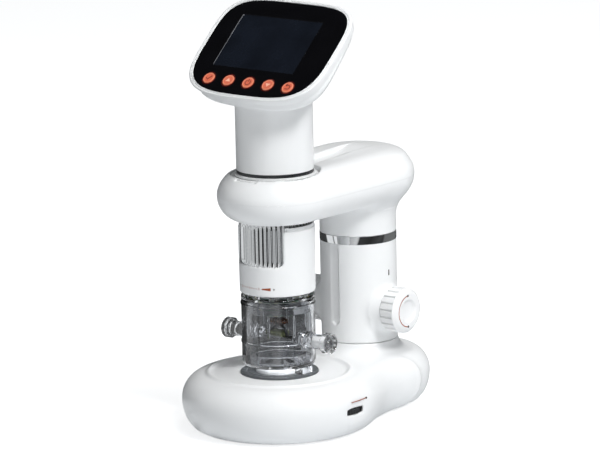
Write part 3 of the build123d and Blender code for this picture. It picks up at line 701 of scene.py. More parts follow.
# ---------------------------------------------------------------- column
def column_field(p):
    x, y, z = p[:, 0], p[:, 1] - COLUMN_Y, p[:, 2]
    r = np.hypot(x, y)
    body = r - COLUMN_R
    flare_end = knob.x0 - 0.3
    rho = np.hypot(y, z - KNOB_Z)
    spread_r = np.minimum(12.6 + (flare_end - np.abs(x)) * 0.4, 15.0)
    cone = np.maximum((rho - spread_r) * 0.9, np.abs(x) - flare_end)
    body = soft_min(body, cone, 3.0)
    groove = np.hypot(x, np.maximum(52.7 - z, 0)) - 2.0
    groove = np.maximum(groove, y + COLUMN_R - 1.0)
    body = soft_max(body, -groove, 1.4)
    body = soft_max(body, SEAM_Z - z, 0.9)
    body = np.maximum(body, z - band.z0)
    body = np.maximum(body, COLUMN_R - WALL - r)
    return np.maximum(body, 4.5 - rho)


skin("column_skin", column_field, (-28, COLUMN_Y - COLUMN_R - 2, SEAM_Z - 1.5),
     (28, COLUMN_Y + COLUMN_R + 2, band.z0 + 1.5), 1.1, WHITE, "stand", ["column_shell"])


# ---------------------------------------------------------------- arm
def arm_outer(p):
    x, y, z = p[:, 0], p[:, 1], p[:, 2]
    along = np.clip(y, TUBE_Y, COLUMN_Y)
    d = np.hypot(x, y - along)
    rail = ARM_R - RAIL_R
    rim = np.hypot(d - rail, z - ARM_Z) - RAIL_R
    fill = np.maximum(d - rail, np.maximum(z - ARM_Z, ARM_Z - RAIL_R - z))
    body = np.minimum(rim, fill)
    column = radius_from(p, COLUMN_Y)
    tall = RAIL_R + (arm_high.z1 - ARM_Z - RAIL_R - 0.6) * smooth_step(y, -12.0, 44.0)
    e = 2.4
    dome = ((d / ARM_R) ** e + (np.maximum(z - ARM_Z, 0) / tall) ** e) ** (1 / e)
    dome = np.maximum((dome - 1) * tall, ARM_Z - z)
    body = soft_min(body, dome, 0.2 + 4.0 * smooth_step(z, ARM_Z + 8, ARM_Z + 14))
    depth = CHANNEL_DEPTH * (1 - smooth_step(y, 30.0, 54.0))
    channel = np.maximum(np.abs(x) - CHANNEL_HALF, ARM_Z + tall - depth - z)
    body = soft_max(body, -channel, 1.0)
    skirt = np.maximum(column - COLUMN_R, arm_low.z0 - z)
    skirt = np.maximum(skirt, z - ARM_Z)
    return np.maximum(soft_min(body, skirt, 11.0), arm_low.z0 - z)


def arm_field(p):
    z = p[:, 2]
    column = radius_from(p, COLUMN_Y)
    tube = radius_from(p, TUBE_Y)
    outer = arm_outer(p)
    inside = np.maximum(outer + 2.4, 28.2 - tube)
    inside = np.maximum(inside, -np.maximum(np.maximum(19.45 - column, column - 21.7), z - 136))
    shell = np.maximum(outer, -inside)
    shell = np.maximum(shell, -np.maximum(column - 19.45, z - 136))
    shell = np.maximum(shell, 22.8 - tube)
    return soft_max(shell, -np.maximum(tube - collar.x1 - 0.25, collar.z0 - z), 0.7)


def arm_upper_field(p):
    return np.maximum(arm_field(p), ARM_Z - p[:, 2])


def arm_lower_field(p):
    return np.maximum(arm_field(p), p[:, 2] - ARM_Z)


ARM_LOW = (-ARM_R - 2, TUBE_Y - ARM_R - 2)
ARM_HIGH = (ARM_R + 2, COLUMN_Y + ARM_R + 2)
skin("arm_upper_skin", arm_upper_field, (*ARM_LOW, ARM_Z - 1.7), (*ARM_HIGH, arm_high.z1 + 2), 1.2, WHITE,
     "arm", ["arm_upper_shell"])
skin("arm_lower_skin", arm_lower_field, (*ARM_LOW, arm_low.z0 - 1.5), (*ARM_HIGH, ARM_Z + 1.5), 1.2, WHITE,
     "arm", ["arm_lower_shell"])


# ---------------------------------------------------------------- head
def squareness(v):
    """Exponent of the head's outline: its upper corners are squarer than its lower ones."""
    return np.where(v > 0, 4.3, 3.4)


def head_field(p):
    q = p - np.array(GLASS_CENTRE)
    u, v, w = q @ np.array(AXIS_U), q @ np.array(AXIS_V), q @ np.array(AXIS_W)
    e = squareness(v)
    half_u, half_v = (half - WALL_TAPER for half in HEAD_HALF)
    outline = ((np.abs(u) / half_u) ** e + (np.abs(v) / half_v) ** e) ** (1 / e)
    wall = HEAD_WALL - 0.5 + 3.5 * smooth_step(-v, -30, 34)
    depth = np.maximum(-wall - w, 0)

    def bowl(inset):
        deep = depth / (BOWL_DEPTH - inset)
        round_sum = outline ** BOWL_ROUNDNESS + deep ** BOWL_ROUNDNESS
        return (round_sum ** (1 / BOWL_ROUNDNESS) - 1) * 30 + inset

    r = radius_from(p, TUBE_Y)
    z = p[:, 2]
    face = w + HEAD_WALL
    outer = soft_min(bowl(0), np.maximum(r - TUBE_R, w + 4), 1.6)
    inner = np.minimum(bowl(WALL), r - TUBE_R + WALL)
    shell = np.maximum(np.maximum(outer, -inner), face)
    shell = np.maximum(shell, neck.z1 - z)
    for hole, half_x, half_z in ((charge_hole, 4.75, 1.95), (card_hole, 6.35, 1.15)):
        cut = np.maximum(np.abs(p[:, 0]) - half_x, np.abs(z - hole.z) - half_z)
        shell = np.maximum(shell, -np.maximum(cut, TUBE_Y + 10 - p[:, 1]))
    return shell


skin("head_skin", head_field, (-51, TUBE_Y - 33, neck.z1 - 1.5), (51, TUBE_Y + 30, 246), 1.2, WHITE,
     "handset", ["head_back_shell"])


def head_outline(half, outset=0.0, count=180):
    """Points of the head's outline, moved out square to it."""
    out = []
    for i in range(count):
        t = 2 * pi * i / count
        c, s = cos(t), sin(t)
        e = 4.3 if s > 0 else 3.4
        scale = (abs(c) ** e + abs(s) ** e) ** (-1 / e)
        u, v = half[0] * scale * c, half[1] * scale * s
        gu = abs(u / half[0]) ** (e - 1) / half[0] * (1 if u > 0 else -1)
        gv = abs(v / half[1]) ** (e - 1) / half[1] * (1 if v > 0 else -1)
        size = hypot(gu, gv)
        out.append((u + outset * gu / size, v + outset * gv / size))
    return out


def head_rim():
    """Front frame: a soft lip round the glass, a fine groove, and the side wall."""
    section = [(-1.4, -HEAD_WALL + 0.02), (-1.4, -1.45), (0.12, -1.45), (0.12, 0.12), (0.25, 0.3),
               (0.5, 0.34), (0.72, 0.22), (0.8, -0.2), (1.02, -0.2), (1.1, 0.12), (1.3, 0.2), (1.75, 0.16),
               (2.08, 0.02),
               (2.28, -0.2), (2.38, -0.5), (2.38, -0.9), (2.4 - WALL_TAPER, -HEAD_WALL + 0.02)]
    loops = []
    for outset, w in section:
        if outset > 2.0 or w < -HEAD_WALL + 0.1 and outset > 0:
            ring = head_outline(HEAD_HALF, outset - 2.4)
        else:
            ring = head_outline(GLASS_HALF, outset)
        loops.append([(u, v, w) for u, v in ring])
    count = len(loops[0])
    faces = []
    for i in range(len(loops)):
        j = (i + 1) % len(loops)
        for k in range(count):
            n = (k + 1) % count
            faces.append([i * count + k, i * count + n, j * count + n, j * count + k][::-1])
    build = Build().add(np.concatenate([np.array(loop) for loop in loops]), faces, 0, on_screen())
    return build.piece("head_rim", [WHITE], "handset", "shell_white", ["head_bezel"], sharp=40)


def button_u(i):
    return (i - 2) * BUTTON_STEP


def screen_front():
    """Glass with its black print, the panel's window, a painted highlight on the panel's left edge, and a
    painted glow round each key.
    """
    holes = [circle(BUTTON_R + 0.3, button_u(i), BUTTON_V) for i in range(5)]
    window = oblong(*LCD_HALF, 0.5, *LCD_CENTRE)
    build = Build()
    build.add(*slab([head_outline(GLASS_HALF, -0.05), window, *holes], -1.4, 0.0, 0.12), 0, on_screen())
    pane = oblong(LCD_HALF[0] - 0.14, LCD_HALF[1] - 0.14, 0.5, *LCD_CENTRE)
    build.add(*slab([pane], -1.4, -0.06, 0.05), 1, on_screen())
    # a thin strip on the window's left edge, widest near its top, in a lighter metallic grey: a painted
    # highlight
    left = LCD_CENTRE[0] - LCD_HALF[0]
    top = LCD_CENTRE[1] + LCD_HALF[1]
    foot_v = top - 2 * LCD_HALF[1]
    edge = [(left + 0.15, top - 0.1), (left + 0.15, foot_v + 0.4), (left + 0.45, foot_v + 1.4),
            (left + 0.65, top - 1.4), (left + 1.5, top - 0.75), (left + 1.2, top - 0.1)]
    build.add(*slab([edge], -0.05, 0.02, 0.0), 2, on_screen())
    # dark red rings on the glass round each key: the keys' glow, painted
    for i in range(5):
        glow_ring = [circle(BUTTON_R + 0.85, button_u(i), BUTTON_V), circle(BUTTON_R + 0.3, button_u(i), BUTTON_V)]
        build.add(*slab(glow_ring, -0.1, 0.015, 0.0), 3, on_screen())
    return build.piece("screen_front", [GLASS_BLACK, LCD_DARK, LCD_EDGE_HIGHLIGHT, KEY_GLOW_PAINT], "handset", "screen_black",
                       ["screen_glass"], sharp=12)


def stroke(path, width):
    """Outline of a flat line of the given width with square ends."""
    left, right = [], []
    for i, here in enumerate(path):
        a = Vector(path[max(i - 1, 0)])
        b = Vector(path[min(i + 1, len(path) - 1)])
        way = (b - a).normalized()
        side = Vector((-way.y, way.x)) * width / 2
        left.append(tuple(Vector(here) + side))
        right.append(tuple(Vector(here) - side))
    return left + right[::-1]


def arc(radius, start, end, count=24, x=0.0, y=0.0):
    angles = [radians(start + (end - start) * i / count) for i in range(count + 1)]
    return [(x + radius * cos(t), y + radius * sin(t)) for t in angles]


def icon_loops(name):
    """Flat marks of the keys: a tick, two arrows, a power sign and a turned-back arrow."""
    if name == "confirm":
        return [stroke([(-1.7, 0.1), (-0.5, -1.2), (1.8, 1.5)], 0.6)]
    if name == "up":
        return [[(-1.7, -0.9), (1.7, -0.9), (0, 1.4)]]
    if name == "down":
        return [[(-1.7, 0.9), (0, -1.4), (1.7, 0.9)]]
    if name == "power":
        return [stroke(arc(1.7, 125, 415), 0.45), stroke([(0, 0.5), (0, 2.3)], 0.45)]
    return [stroke(arc(1.35, -90, 90, 16, 0.3, 0.0), 0.45), stroke([(0.4, 1.35), (-1.0, 1.35)], 0.45),
            [(-0.8, 2.25), (-0.8, 0.45), (-2.0, 1.35)], stroke([(0.3, -1.35), (-1.5, -1.35)], 0.45)]


def make_button(i, name):
    section = rounded([(0, -2.6, 0), (BUTTON_R + 0.65, -2.6, 0.2), (BUTTON_R + 0.65, -1.7, 0.2),
                       (BUTTON_R, -1.7, 0), (BUTTON_R, 0.35, 0.3), (BUTTON_R - 0.35, 0.45, 0.2),
                       (BUTTON_R - 0.8, 0.32, 0.2), (0, 0.38, 0)], 4)
    points, faces = turned(section, 72)
    # the upper faces of each key's raised rim take the lighter orange: a painted highlight
    marks = []
    for face in faces:
        middle = np.mean([points[k] for k in face], 0)
        marks.append(1 if hypot(middle[0], middle[1]) > BUTTON_R - 0.85 and middle[2] > 0.1 else 0)
    build = Build().add(points, faces, marks, on_screen(button_u(i), BUTTON_V))
    mark = 3 if name in ("up", "down") else 2
    for loop in icon_loops(name):
        build.add(*slab([loop], 0.2, 0.45, 0.0), mark, on_screen(button_u(i), BUTTON_V))
    return build.piece("button_" + name + "_cap", [ORANGE, ORANGE_RIM_HIGHLIGHT, ICON_DARK, ICON_LIGHT], "key_" + name,
                       "button_orange", ["button_" + name])


head_rim()
screen_front()
for index, key in enumerate(["confirm", "up", "power", "down", "mode"]):
    make_button(index, key)


# ---------------------------------------------------------------- height knobs
def print_on_face(build, path, width, height, mark, place):
    """A thin printed line, raised a hair above the face that it lies on."""
    build.add(*slab([stroke(path, width)], height - 0.25, height, 0.0), mark, place)


def height_knob(side, name):
    """Fluted rim, rounded shoulder, flat printed ring and a dished middle."""
    depth = knob.x1 - knob.x0
    flutes = 20
    section = rounded([(3.1, 0, 0), (KNOB_R - 0.6, 0, 0.4), (KNOB_R, 0.6, 0.5), (KNOB_R, depth - 2.2, 0.8),
                       (KNOB_R - 1.9, depth - 0.35, 1.8), (KNOB_R - 3.2, depth, 0.6), (7.0, depth, 0.9),
                       (5.6, depth - 1.3, 1.2), (0, depth - 1.9, 0), (0, depth - 3.4, 0),
                       (3.1, depth - 3.4, 0)], 5)
    fine = [section[0]]
    for a, b in zip(section, section[1:]):
        pieces = 10 if b[1] - a[1] > 4 and a[0] > KNOB_R - 1 else 1
        fine += [(a[0] + (b[0] - a[0]) * k / pieces, a[1] + (b[1] - a[1]) * k / pieces)
                 for k in range(1, pieces + 1)]

    def bend(radius, angle, height):
        swing = (angle * flutes / (2 * pi)) % 1.0 - 0.5
        groove = np.clip(1 - (swing / 0.17) ** 2, 0, 1) ** 0.5
        fade = smooth_step(height, -0.4, 0.5) * (1 - smooth_step(height, depth - 3.1, depth - 2.4))
        rim = smooth_step(radius, KNOB_R - 1.2, KNOB_R - 0.5)
        return radius - 1.0 * groove * fade * rim

    place = at(side * knob.x0, COLUMN_Y, KNOB_Z, along_x(side))
    build = Build().add(*turned(fine, flutes * 16, bend), 0, place)
    line = arc(9.3, 184, 356, 40)
    print_on_face(build, line, 0.6, depth + 0.03, 1, place)
    for end in (line[0], line[-1]):
        build.add(*slab([circle(0.72, *end, 20)], depth - 0.2, depth + 0.05, 0.0), 2, place)
    materials = [KNOB_WHITE, PRINT_BROWN, PRINT_DARK]
    return build.piece(name + "_grip", materials, "height_knobs", "knob_white", [name])


height_knob(-1, "height_knob_left")
height_knob(1, "height_knob_right")


# ---------------------------------------------------------------- turned pieces round the tube and column
def turned_piece(name, section, y, material, body, slot, node, segments=128, bend=None, z=0.0):
    build = Build().add(*turned(section, segments, bend), 0, at(0, y, z))
    return build.piece(name, [material], body, slot, [node])


def hollow(r_in, r_out, z0, z1, soft=0.3):
    """Section of a tube with softened rims."""
    return rounded([(r_in, z0, soft), (r_out, z0, soft), (r_out, z1, soft), (r_in, z1, soft)], 3)


turned_piece("column_band_ring", hollow(band.x1 - 3.0, band.x1, band.z0, band.z1, 0.18), COLUMN_Y, CHROME,
             "stand", "chrome", "column_band")
turned_piece("neck_gasket", hollow(20.35, neck.x1, neck.z0, neck.z1, 0.25), TUBE_Y, BLACK,
             "handset", "black_plastic", "neck_ring")
barrel = [(15.0, 90.0), (19.9, 90.0), (19.9, 92.6), (16.75, 92.6), (16.75, 125.0), (20.3, 125.0),
          (20.3, 166.0), (18.3, 166.0), (18.3, 127.5), (15.0, 127.5)]
core = Build()
core.add(*turned(barrel, 96), 0, at(0, TUBE_Y))
core.add(*turned(hollow(20.32, 23.6, collar.z1 + 0.2, neck.z0 - 0.02, 0.3), 128), 1, at(0, TUBE_Y))
core.piece("handset_core", [BLACK, WHITE], "handset", "black_plastic", ["inner_barrel"])
turned_piece("collar_ring", rounded([(22.8, collar.z0, 0.2), (collar.x1, collar.z0, 0.2),
                                     (collar.x1, collar.z1 - 0.35, 0.5), (collar.x1 - 0.9, collar.z1, 0.5),
                                     (22.8, collar.z1, 0.3)], 4),
             TUBE_Y, COLLAR_WHITE, "collar", "collar_white", "swivel_collar")
turned_piece("stage_plate", rounded([(puck.x1 + 0.05, stage.z0, 0), (stage.x1, stage.z0, 0),
                                     (stage.x1, stage.z1, 0.5), (19.2, stage.z1, 0.2),
                                     (18.9, stage.z1 - 0.35, 0.2), (18.3, stage.z1 - 0.35, 0.2),
                                     (18.0, stage.z1, 0.2),
                                     (puck.x1 + 0.05, stage.z1, 0.2)], 3),
             TUBE_Y, STAGE_BLACK, "stand", "stage_black", "stage_disc")
turned_piece("stage_puck", rounded([(0, puck.z0, 0), (puck.x1, puck.z0, 0.2), (puck.x1, puck.z1 - 1.5, 1.6),
                                    (puck.x1 - 1.7, puck.z1 - 0.1, 1.4), (10.4, puck.z1, 0.3),
                                    (10.0, puck.z1 - 0.25, 0.3), (0, puck.z1 - 0.12, 0)], 6),
             TUBE_Y, DIFFUSER, "stand", "diffuser", "stage_diffuser")


def focus_flutes(radius, angle, height):
    wave = 0.5 + 0.5 * np.cos(angle * 48)
    low_end = smooth_step(height, grip.z0 + 0.8, grip.z0 + 2.2)
    high_end = 1 - smooth_step(height, grip.z1 - 2.2, grip.z1 - 0.8)
    outside = smooth_step(radius, grip.x1 - 1.0, grip.x1 - 0.5)
    return radius - 0.95 * (1 - wave ** 1.5) * low_end * high_end * outside


ring_section = hollow(17.0, grip.x1, grip.z0, grip.z1, 0.6)
rows = [grip.z0 + 0.9 + (grip.z1 - grip.z0 - 1.8) * k / 14 for k in range(15)]
lower = [p for p in ring_section if p[1] < grip.z and p[0] < grip.x1]
upper = [p for p in ring_section if p[1] > grip.z and p[0] < grip.x1]
turned_piece("focus_grip_ring", lower + [(grip.x1, z) for z in rows] + upper, TUBE_Y, CHROME, "focus_grip",
             "chrome", "focus_ring", segments=48 * 14, bend=focus_flutes)


# ---------------------------------------------------------------- lens shroud
WINDOW_Z = 99.5
WINDOW_HALF = radians(49)


def shroud_field(p):
    x, y, z = p[:, 0], p[:, 1] - TUBE_Y, p[:, 2]
    r = np.hypot(x, y)
    along = (z - shroud.z0) / (shroud.z1 - shroud.z0)
    outside = r - (shroud.x1 - 0.4 + 0.4 * along)
    body = soft_max(outside, np.maximum(z - shroud.z1, shroud.z0 - z), 0.6)
    bore = np.where(z > 95, 21.1, 19.9)
    lip = np.maximum(np.abs(r - 21.5) - 0.4, np.maximum(z - shroud.z1 - 5.5, 100 - z))
    body = np.minimum(np.maximum(body, bore - r), lip)
    sideways = np.abs(np.arctan2(x, -y)) * shroud.x1 - WINDOW_HALF * shroud.x1
    corner = 3.2
    window = np.hypot(np.maximum(sideways + corner, 0), np.maximum(WINDOW_Z + corner - z, 0)) - corner
    window = np.maximum(window, np.maximum(sideways, WINDOW_Z - z))
    return soft_max(body, -window, 1.5)


def shroud_marks(build):
    """A focus scale printed round the front: plain ticks, a widening wedge, and a sign at each end."""
    height = 86.4
    r = shroud.x1 - 0.36

    def patch(start, end, z0, z1, mark):
        count = max(2, int(abs(end - start) / 2))
        angles = [radians(start + (end - start) * i / count) for i in range(count + 1)]
        points = []
        for radius in (r - 0.12, r + 0.06):
            for i, t in enumerate(angles):
                low, high = (z(i / count) if callable(z) else z for z in (z0, z1))
                points += [(radius * cos(t), TUBE_Y + radius * sin(t), low),
                           (radius * cos(t), TUBE_Y + radius * sin(t), high)]
        outer = 2 * (count + 1)
        faces = []
        for i in range(count):
            a = 2 * i
            faces.append([a + 1, a + 3, a + 2, a])
            faces.append([outer + a, outer + a + 2, outer + a + 3, outer + a + 1])
            faces.append([a, a + 2, outer + a + 2, outer + a])
            faces.append([outer + a + 1, outer + a + 3, a + 3, a + 1])
        faces.append([0, outer, outer + 1, 1])
        end_row = 2 * count
        faces.append([end_row, end_row + 1, outer + end_row + 1, outer + end_row])
        build.add(points, faces, mark)

    patch(-126, -122.5, height - 0.15, height + 0.15, 2)
    for i in range(9):
        tall = 1.5 if i % 4 == 0 else 0.9
        patch(-117 + i * 4.6, -116.2 + i * 4.6, height - tall / 2, height + tall / 2, 1)
    patch(-75, -61, lambda t: height - 0.35 - 0.55 * t, lambda t: height + 0.35 + 0.55 * t, 1)
    patch(-57.6, -54.6, height - 0.15, height + 0.15, 2)
    patch(-56.5, -55.7, height - 0.65, height + 0.65, 2)


def lens_shroud():
    points, quads, normals = contour(shroud_field, (-24, TUBE_Y - 24, shroud.z0 - 1.5),
                                     (24, TUBE_Y + 24, shroud.z1 + 1.5), 0.75)
    add_piece("lens_shroud", points, quads, [WHITE], "handset", ["lower_shroud"],
              normals=normals)
    build = Build()
    shroud_marks(build)
    build.piece("shroud_print", [WHITE, PRINT_BROWN, PRINT_DARK], "handset", "shell_white")


lens_shroud()


# ---------------------------------------------------------------- small marks on the stand
def stand_marks():
    """Index tick over the knob, printed on the white column shell; the dimmer's line and its dot join this
    build afterwards.
    """
    build = Build()
    build.add(*block(COLUMN_R - 0.3, COLUMN_R + 0.06, COLUMN_Y - 0.5, COLUMN_Y + 0.5, 79.0, 82.4, 0.1), 1)
    return build


def dimmer_line():
    """Points of a level line on the base, above the thumbwheel's slot."""
    z = wheel.z + 5.8
    path = []
    for y in np.linspace(TUBE_Y - 4.0, TUBE_Y + 10.0, 24):
        low, high = 40.0, BASE_FRONT_R + 1
        for _ in range(30):
            middle = (low + high) / 2
            if base_outer(np.array([[middle, y, z]]))[0] < 0:
                low = middle
            else:
                high = middle
        path.append((low + 0.02, y, z))
    return path


marks = stand_marks()
line = dimmer_line()
marks.add(*wire(line, 0.24, 8), 0)
dot = line[-1]
ball = turned(rounded([(0, -0.6, 0), (0.62, -0.3, 0.3), (0.62, 0.3, 0.3), (0, 0.6, 0)], 3), 20)
marks.add(*ball, 1, at(*dot, along_x(1)))
marks.piece("stand_print", [PRINT_BROWN, PRINT_DARK], "stand", "wheel_grey")


# ---------------------------------------------------------------- thumbwheel
def thumbwheel():
    teeth = 36

    def bend(radius, angle, height):
        swing = 0.5 + 0.5 * np.cos(angle * teeth)
        return radius - 0.45 * (1 - swing ** 0.6) * smooth_step(radius, 8.2, 8.6)

    half = (wheel.z1 - wheel.z0) / 2
    section = rounded([(1.56, -half, 0), (9.0, -half, 0.3), (9.0, half, 0.3), (1.56, half, 0)], 3)
    place = at((wheel.x0 + wheel.x1) / 2, wheel.y, wheel.z)
    build = Build().add(*turned(section, teeth * 10, bend), 0, place)
    return build.piece("dimmer_thumbwheel", [WHEEL_GREY], "dimmer", "wheel_grey", ["dimmer_wheel"])


thumbwheel()


# ---------------------------------------------------------------- specimen chamber
DRUM_R = 21.5


def let_light_through(piece):
    """Clear plastic casts no dark shadow on what it holds."""
    piece.visible_shadow = False


def chamber_drum():
    """Clear drum: ring lines, upright inside ribs, a mid flange and a boss for each half of the spindle."""
    build = Build()
    wall = [(19.4, drum.z0, 0.2), (DRUM_R, drum.z0, 0.3), (DRUM_R, 51.2, 0.1), (DRUM_R + 0.4, 51.5, 0.2),
            (DRUM_R + 0.4, 52.7, 0.2), (DRUM_R, 53.0, 0.1), (DRUM_R, 73.9, 0.1), (DRUM_R + 0.4, 74.2, 0.2),
            (DRUM_R + 0.4, 75.2, 0.2), (DRUM_R, 75.5, 0.1), (DRUM_R, drum.z1, 0.3), (19.4, drum.z1, 0.2)]
    build.add(*turned(rounded(wall, 2), 128), 0, at(0, TUBE_Y))
    for side in (-1, 1):
        boss = rounded([(3.6, 0, 0), (5.2, 0, 0), (5.2, 3.6, 0.5), (3.6, 3.6, 0.2)], 3)
        build.add(*turned(boss, 48), 0, at(side * 20.35, TUBE_Y, clear_knob.z, along_x(side)))
    ribs = 8
    for i in range(ribs):
        turn = Matrix.Rotation(2 * pi * (i + 0.5) / ribs, 4, "Z")
        build.add(*block(18.2, 19.38, -0.6, 0.6, 56.5, 70.5, 0.25), 0, at(0, TUBE_Y, 0, turn))
    let_light_through(build.piece("chamber_drum", [CLEAR], "chamber", "clear", ["chamber_body"], sharp=28))


def chamber_cap():
    """Clear cap: open middle, inner collars and a crown of lugs."""
    build = Build()
    plate = [(12.5, 77.7, 0.2), (DRUM_R, 77.7, 0.3), (DRUM_R, 79.4, 0.5), (12.5, 79.4, 0.3)]
    outer = [(17.4, 70.0, 0.3), (19.2, 70.0, 0.3), (19.2, 77.6, 0), (17.4, 77.6, 0)]
    inner = [(12.5, 74.5, 0.2), (14.3, 74.5, 0.3), (14.3, 77.6, 0), (12.5, 77.6, 0)]
    for section in (plate, outer, inner):
        build.add(*turned(rounded(section, 3), 112), 0, at(0, TUBE_Y))
    lugs = 12
    for i in range(lugs):
        turn = Matrix.Rotation(2 * pi * i / lugs, 4, "Z")
        build.add(*block(18.4, 21.2, -1.7, 1.7, 79.42, lid.z1, 0.4), 0, at(0, TUBE_Y, 0, turn))
    let_light_through(build.piece("chamber_cap", [CLEAR], "chamber", "clear", ["chamber_lid"], sharp=28))


def chamber_floor():
    """Clear floor with a crown of radial ribs, standing on two legs."""
    build = Build()
    plate = [(5.0, foot.z0 + 4.25, 0.2), (20.8, foot.z0 + 4.25, 0.4), (20.8, drum.z0 - 0.1, 0.3),
             (5.0, drum.z0 - 0.1, 0.2)]
    wall = [(17.6, drum.z0 - 0.08, 0), (19.2, drum.z0 - 0.08, 0), (19.2, foot.z1, 0.5), (17.6, foot.z1, 0.4)]
    for section in (plate, wall):
        build.add(*turned(rounded(section, 3), 112), 0, at(0, TUBE_Y))
    ribs = 36
    for i in range(ribs):
        turn = Matrix.Rotation(2 * pi * i / ribs, 4, "Z")
        build.add(*block(14.7, 17.5, -0.4, 0.4, drum.z0, 41.4, 0.15), 0, at(0, TUBE_Y, 0, turn))
    for side in (-1, 1):
        x0, x1 = sorted((side * 15.2, side * 21.0))
        build.add(*block(x0, x1, TUBE_Y - 5, TUBE_Y + 5, foot.z0, foot.z0 + 4.3, 0.9), 0)
    let_light_through(build.piece("chamber_floor", [CLEAR], "chamber", "clear", ["chamber_foot"], sharp=28))


def clear_grip(side, name):
    """Clear hand knob: a rim, a sunk face with a hub, and its half of the spindle."""
    x0 = clear_knob.x1 - 4.4
    depth = 4.4
    section = rounded([(0, 14.0 - x0, 0), (3.5, 14.0 - x0, 0.3), (3.5, 24.3 - x0, 0.2), (4.4, 24.3 - x0, 0.3),
                       (4.4, -0.1, 0.4), (6.2, 0, 0.5), (6.2, depth, 0.6), (4.9, depth, 0.4),
                       (4.5, 2.6, 0.5), (2.2, 2.6, 0.3), (1.9, 3.5, 0.4), (0, 3.6, 0)], 4)
    notches = 12

    def bend(radius, angle, height):
        rim = smooth_step(radius, 5.6, 6.0) * (height > -0.5)
        return radius - 0.22 * (0.5 - 0.5 * np.cos(angle * notches)) * rim

    place = at(side * x0, TUBE_Y, clear_knob.z, along_x(side))
    build = Build().add(*turned(section, notches * 10, bend), 0, place)
    let_light_through(build.piece(name + "_grip", [CLEAR_KNOB], "specimen", "clear", [name], sharp=28))


chamber_drum()
chamber_cap()
chamber_floor()
clear_grip(-1, "specimen_knob_left")
clear_grip(1, "specimen_knob_right")


# ---------------------------------------------------------------- specimen
def egg(rx, ry, rz, count=28):
    """Closed ellipsoid, long way along X."""
    section = [(sin(pi * i / count) * 1.0, -cos(pi * i / count)) for i in range(count + 1)]
    points, faces = turned(section, 36)
    points = np.stack([points[:, 2] * rx, points[:, 1] * ry, points[:, 0] * rz], 1)
    return points, [face[::-1] for face in faces]


def beetle():
    """Dried beetle: head, shield, two wing cases with a seam, six bent legs and two feelers."""
    z = clip.z1 + 1.7
    build = Build()

    def egg_at(rx, ry, rz, x, y, dz):
        points, faces = egg(rx, ry, rz)
        build.add(points, faces, 0, at(x, TUBE_Y + y, z + dz))

    for side in (-1, 1):
        egg_at(4.2, 1.9, 2.0, 2.2, side * 1.1, 0.3)
    egg_at(4.0, 2.5, 1.4, 2.1, 0, -0.45)
    egg_at(2.0, 2.5, 1.8, -2.6, 0, 0.1)
    egg_at(1.3, 1.4, 1.1, -4.9, 0, -0.1)
    for side in (-1, 1):
        egg_at(0.35, 0.35, 0.35, -5.5, side * 0.95, 0.2)
        for i, root in enumerate((-3.0, -0.6, 1.5)):
            lean = (-0.9, 0.2, 1.3)[i]
            leg = [(root, 1.4), (root + lean, 3.0), (root + lean * 1.6, 3.6), (root + lean * 2.4, 3.8)]
            heights = (-0.6, 0.2, -0.9, -1.7)
            path = [(x, TUBE_Y + side * y, z + h) for (x, y), h in zip(leg, heights)]
            build.add(*wire(path, 0.32, 8, 0.55), 0)
        feeler = [(-5.8, 0.6, 0.1), (-6.4, 1.4, 0.5), (-6.9, 2.3, 0.4)]
        build.add(*wire([(x, TUBE_Y + side * y, z + h) for x, y, h in feeler], 0.16, 6, 0.6), 0)
    return build.piece("dried_beetle", [CHITIN], "specimen", "beetle", ["specimen_beetle"], sharp=50)


def cradle():
    """Clear strip between the two halves of the spindle, with an upright round disc at each end."""
    top = clear_knob.z
    build = Build()
    build.add(*block(-14.0, 14.0, TUBE_Y - 3.5, TUBE_Y + 3.5, top - 1.2, top - 0.02, 0.3), 0)
    for side in (-1, 1):
        build.add(*turned(rounded([(0, 0, 0), (3.5, 0, 0.3), (3.5, 1.2, 0.3), (0, 1.2, 0)], 3), 40), 0,
                  at(side * 12.8, TUBE_Y, top, along_x(side)))
    let_light_through(build.piece("cradle_strip", [CLEAR_KNOB], "specimen", "clear", ["specimen_cradle"]))


def clip_arch():
    """Flat spring bent into an arch, standing on the strip."""
    r = (clip.x1 - clip.x0) / 2
    outer = arc(r, 0, 180, 32)
    inner = arc(r - 0.8, 180, 0, 32)
    points, faces = slab([outer + inner], -1.0, 1.0, 0.12)
    turn = Matrix.Rotation(pi / 2, 4, "X")
    build = Build().add(points, faces, 0, at(clip.x, TUBE_Y, clip.z0, turn))
    build.piece("clip_spring", [CLIP_DARK], "specimen", "clip_dark", ["specimen_clip"])


def pad_block():
    points, faces = slab([oblong((pad.x1 - pad.x0) / 2, (pad.y1 - pad.y0) / 2, 1.0, pad.x, pad.y)],
                         pad.z0 + 0.02, pad.z1, 0.5)
    Build().add(points, faces).piece("olive_rest", [OLIVE], "specimen", "olive_pad", ["specimen_pad"])


beetle()
cradle()
clip_arch()
pad_block()


# ---------------------------------------------------------------- finishes of the CAD pieces that stay
CAD_FINISH = {
    "shell_white": WHITE, "plate_grey": PLATE_GREY, "rubber": RUBBER, "screw_steel": STEEL, "steel": STEEL,
    "stage_black": STAGE_BLACK, "diffuser": DIFFUSER, "circuit_board": BOARD, "led": LED_YELLOW,
    "black_plastic": BLACK, "wheel_grey": WHEEL_GREY, "socket_metal": SOCKET, "chrome": CHROME,
    "brass": BRASS, "knob_white": KNOB_WHITE, "collar_white": COLLAR_WHITE, "lens_glass": LENS,
    "screen_black": GLASS_BLACK,
    "lcd": LCD_DARK, "battery_wrap": WRAP, "clear": CLEAR, "olive_pad": OLIVE, "clip_dark": CLIP_DARK,
    "beetle": CHITIN, "button_orange": ORANGE,
}


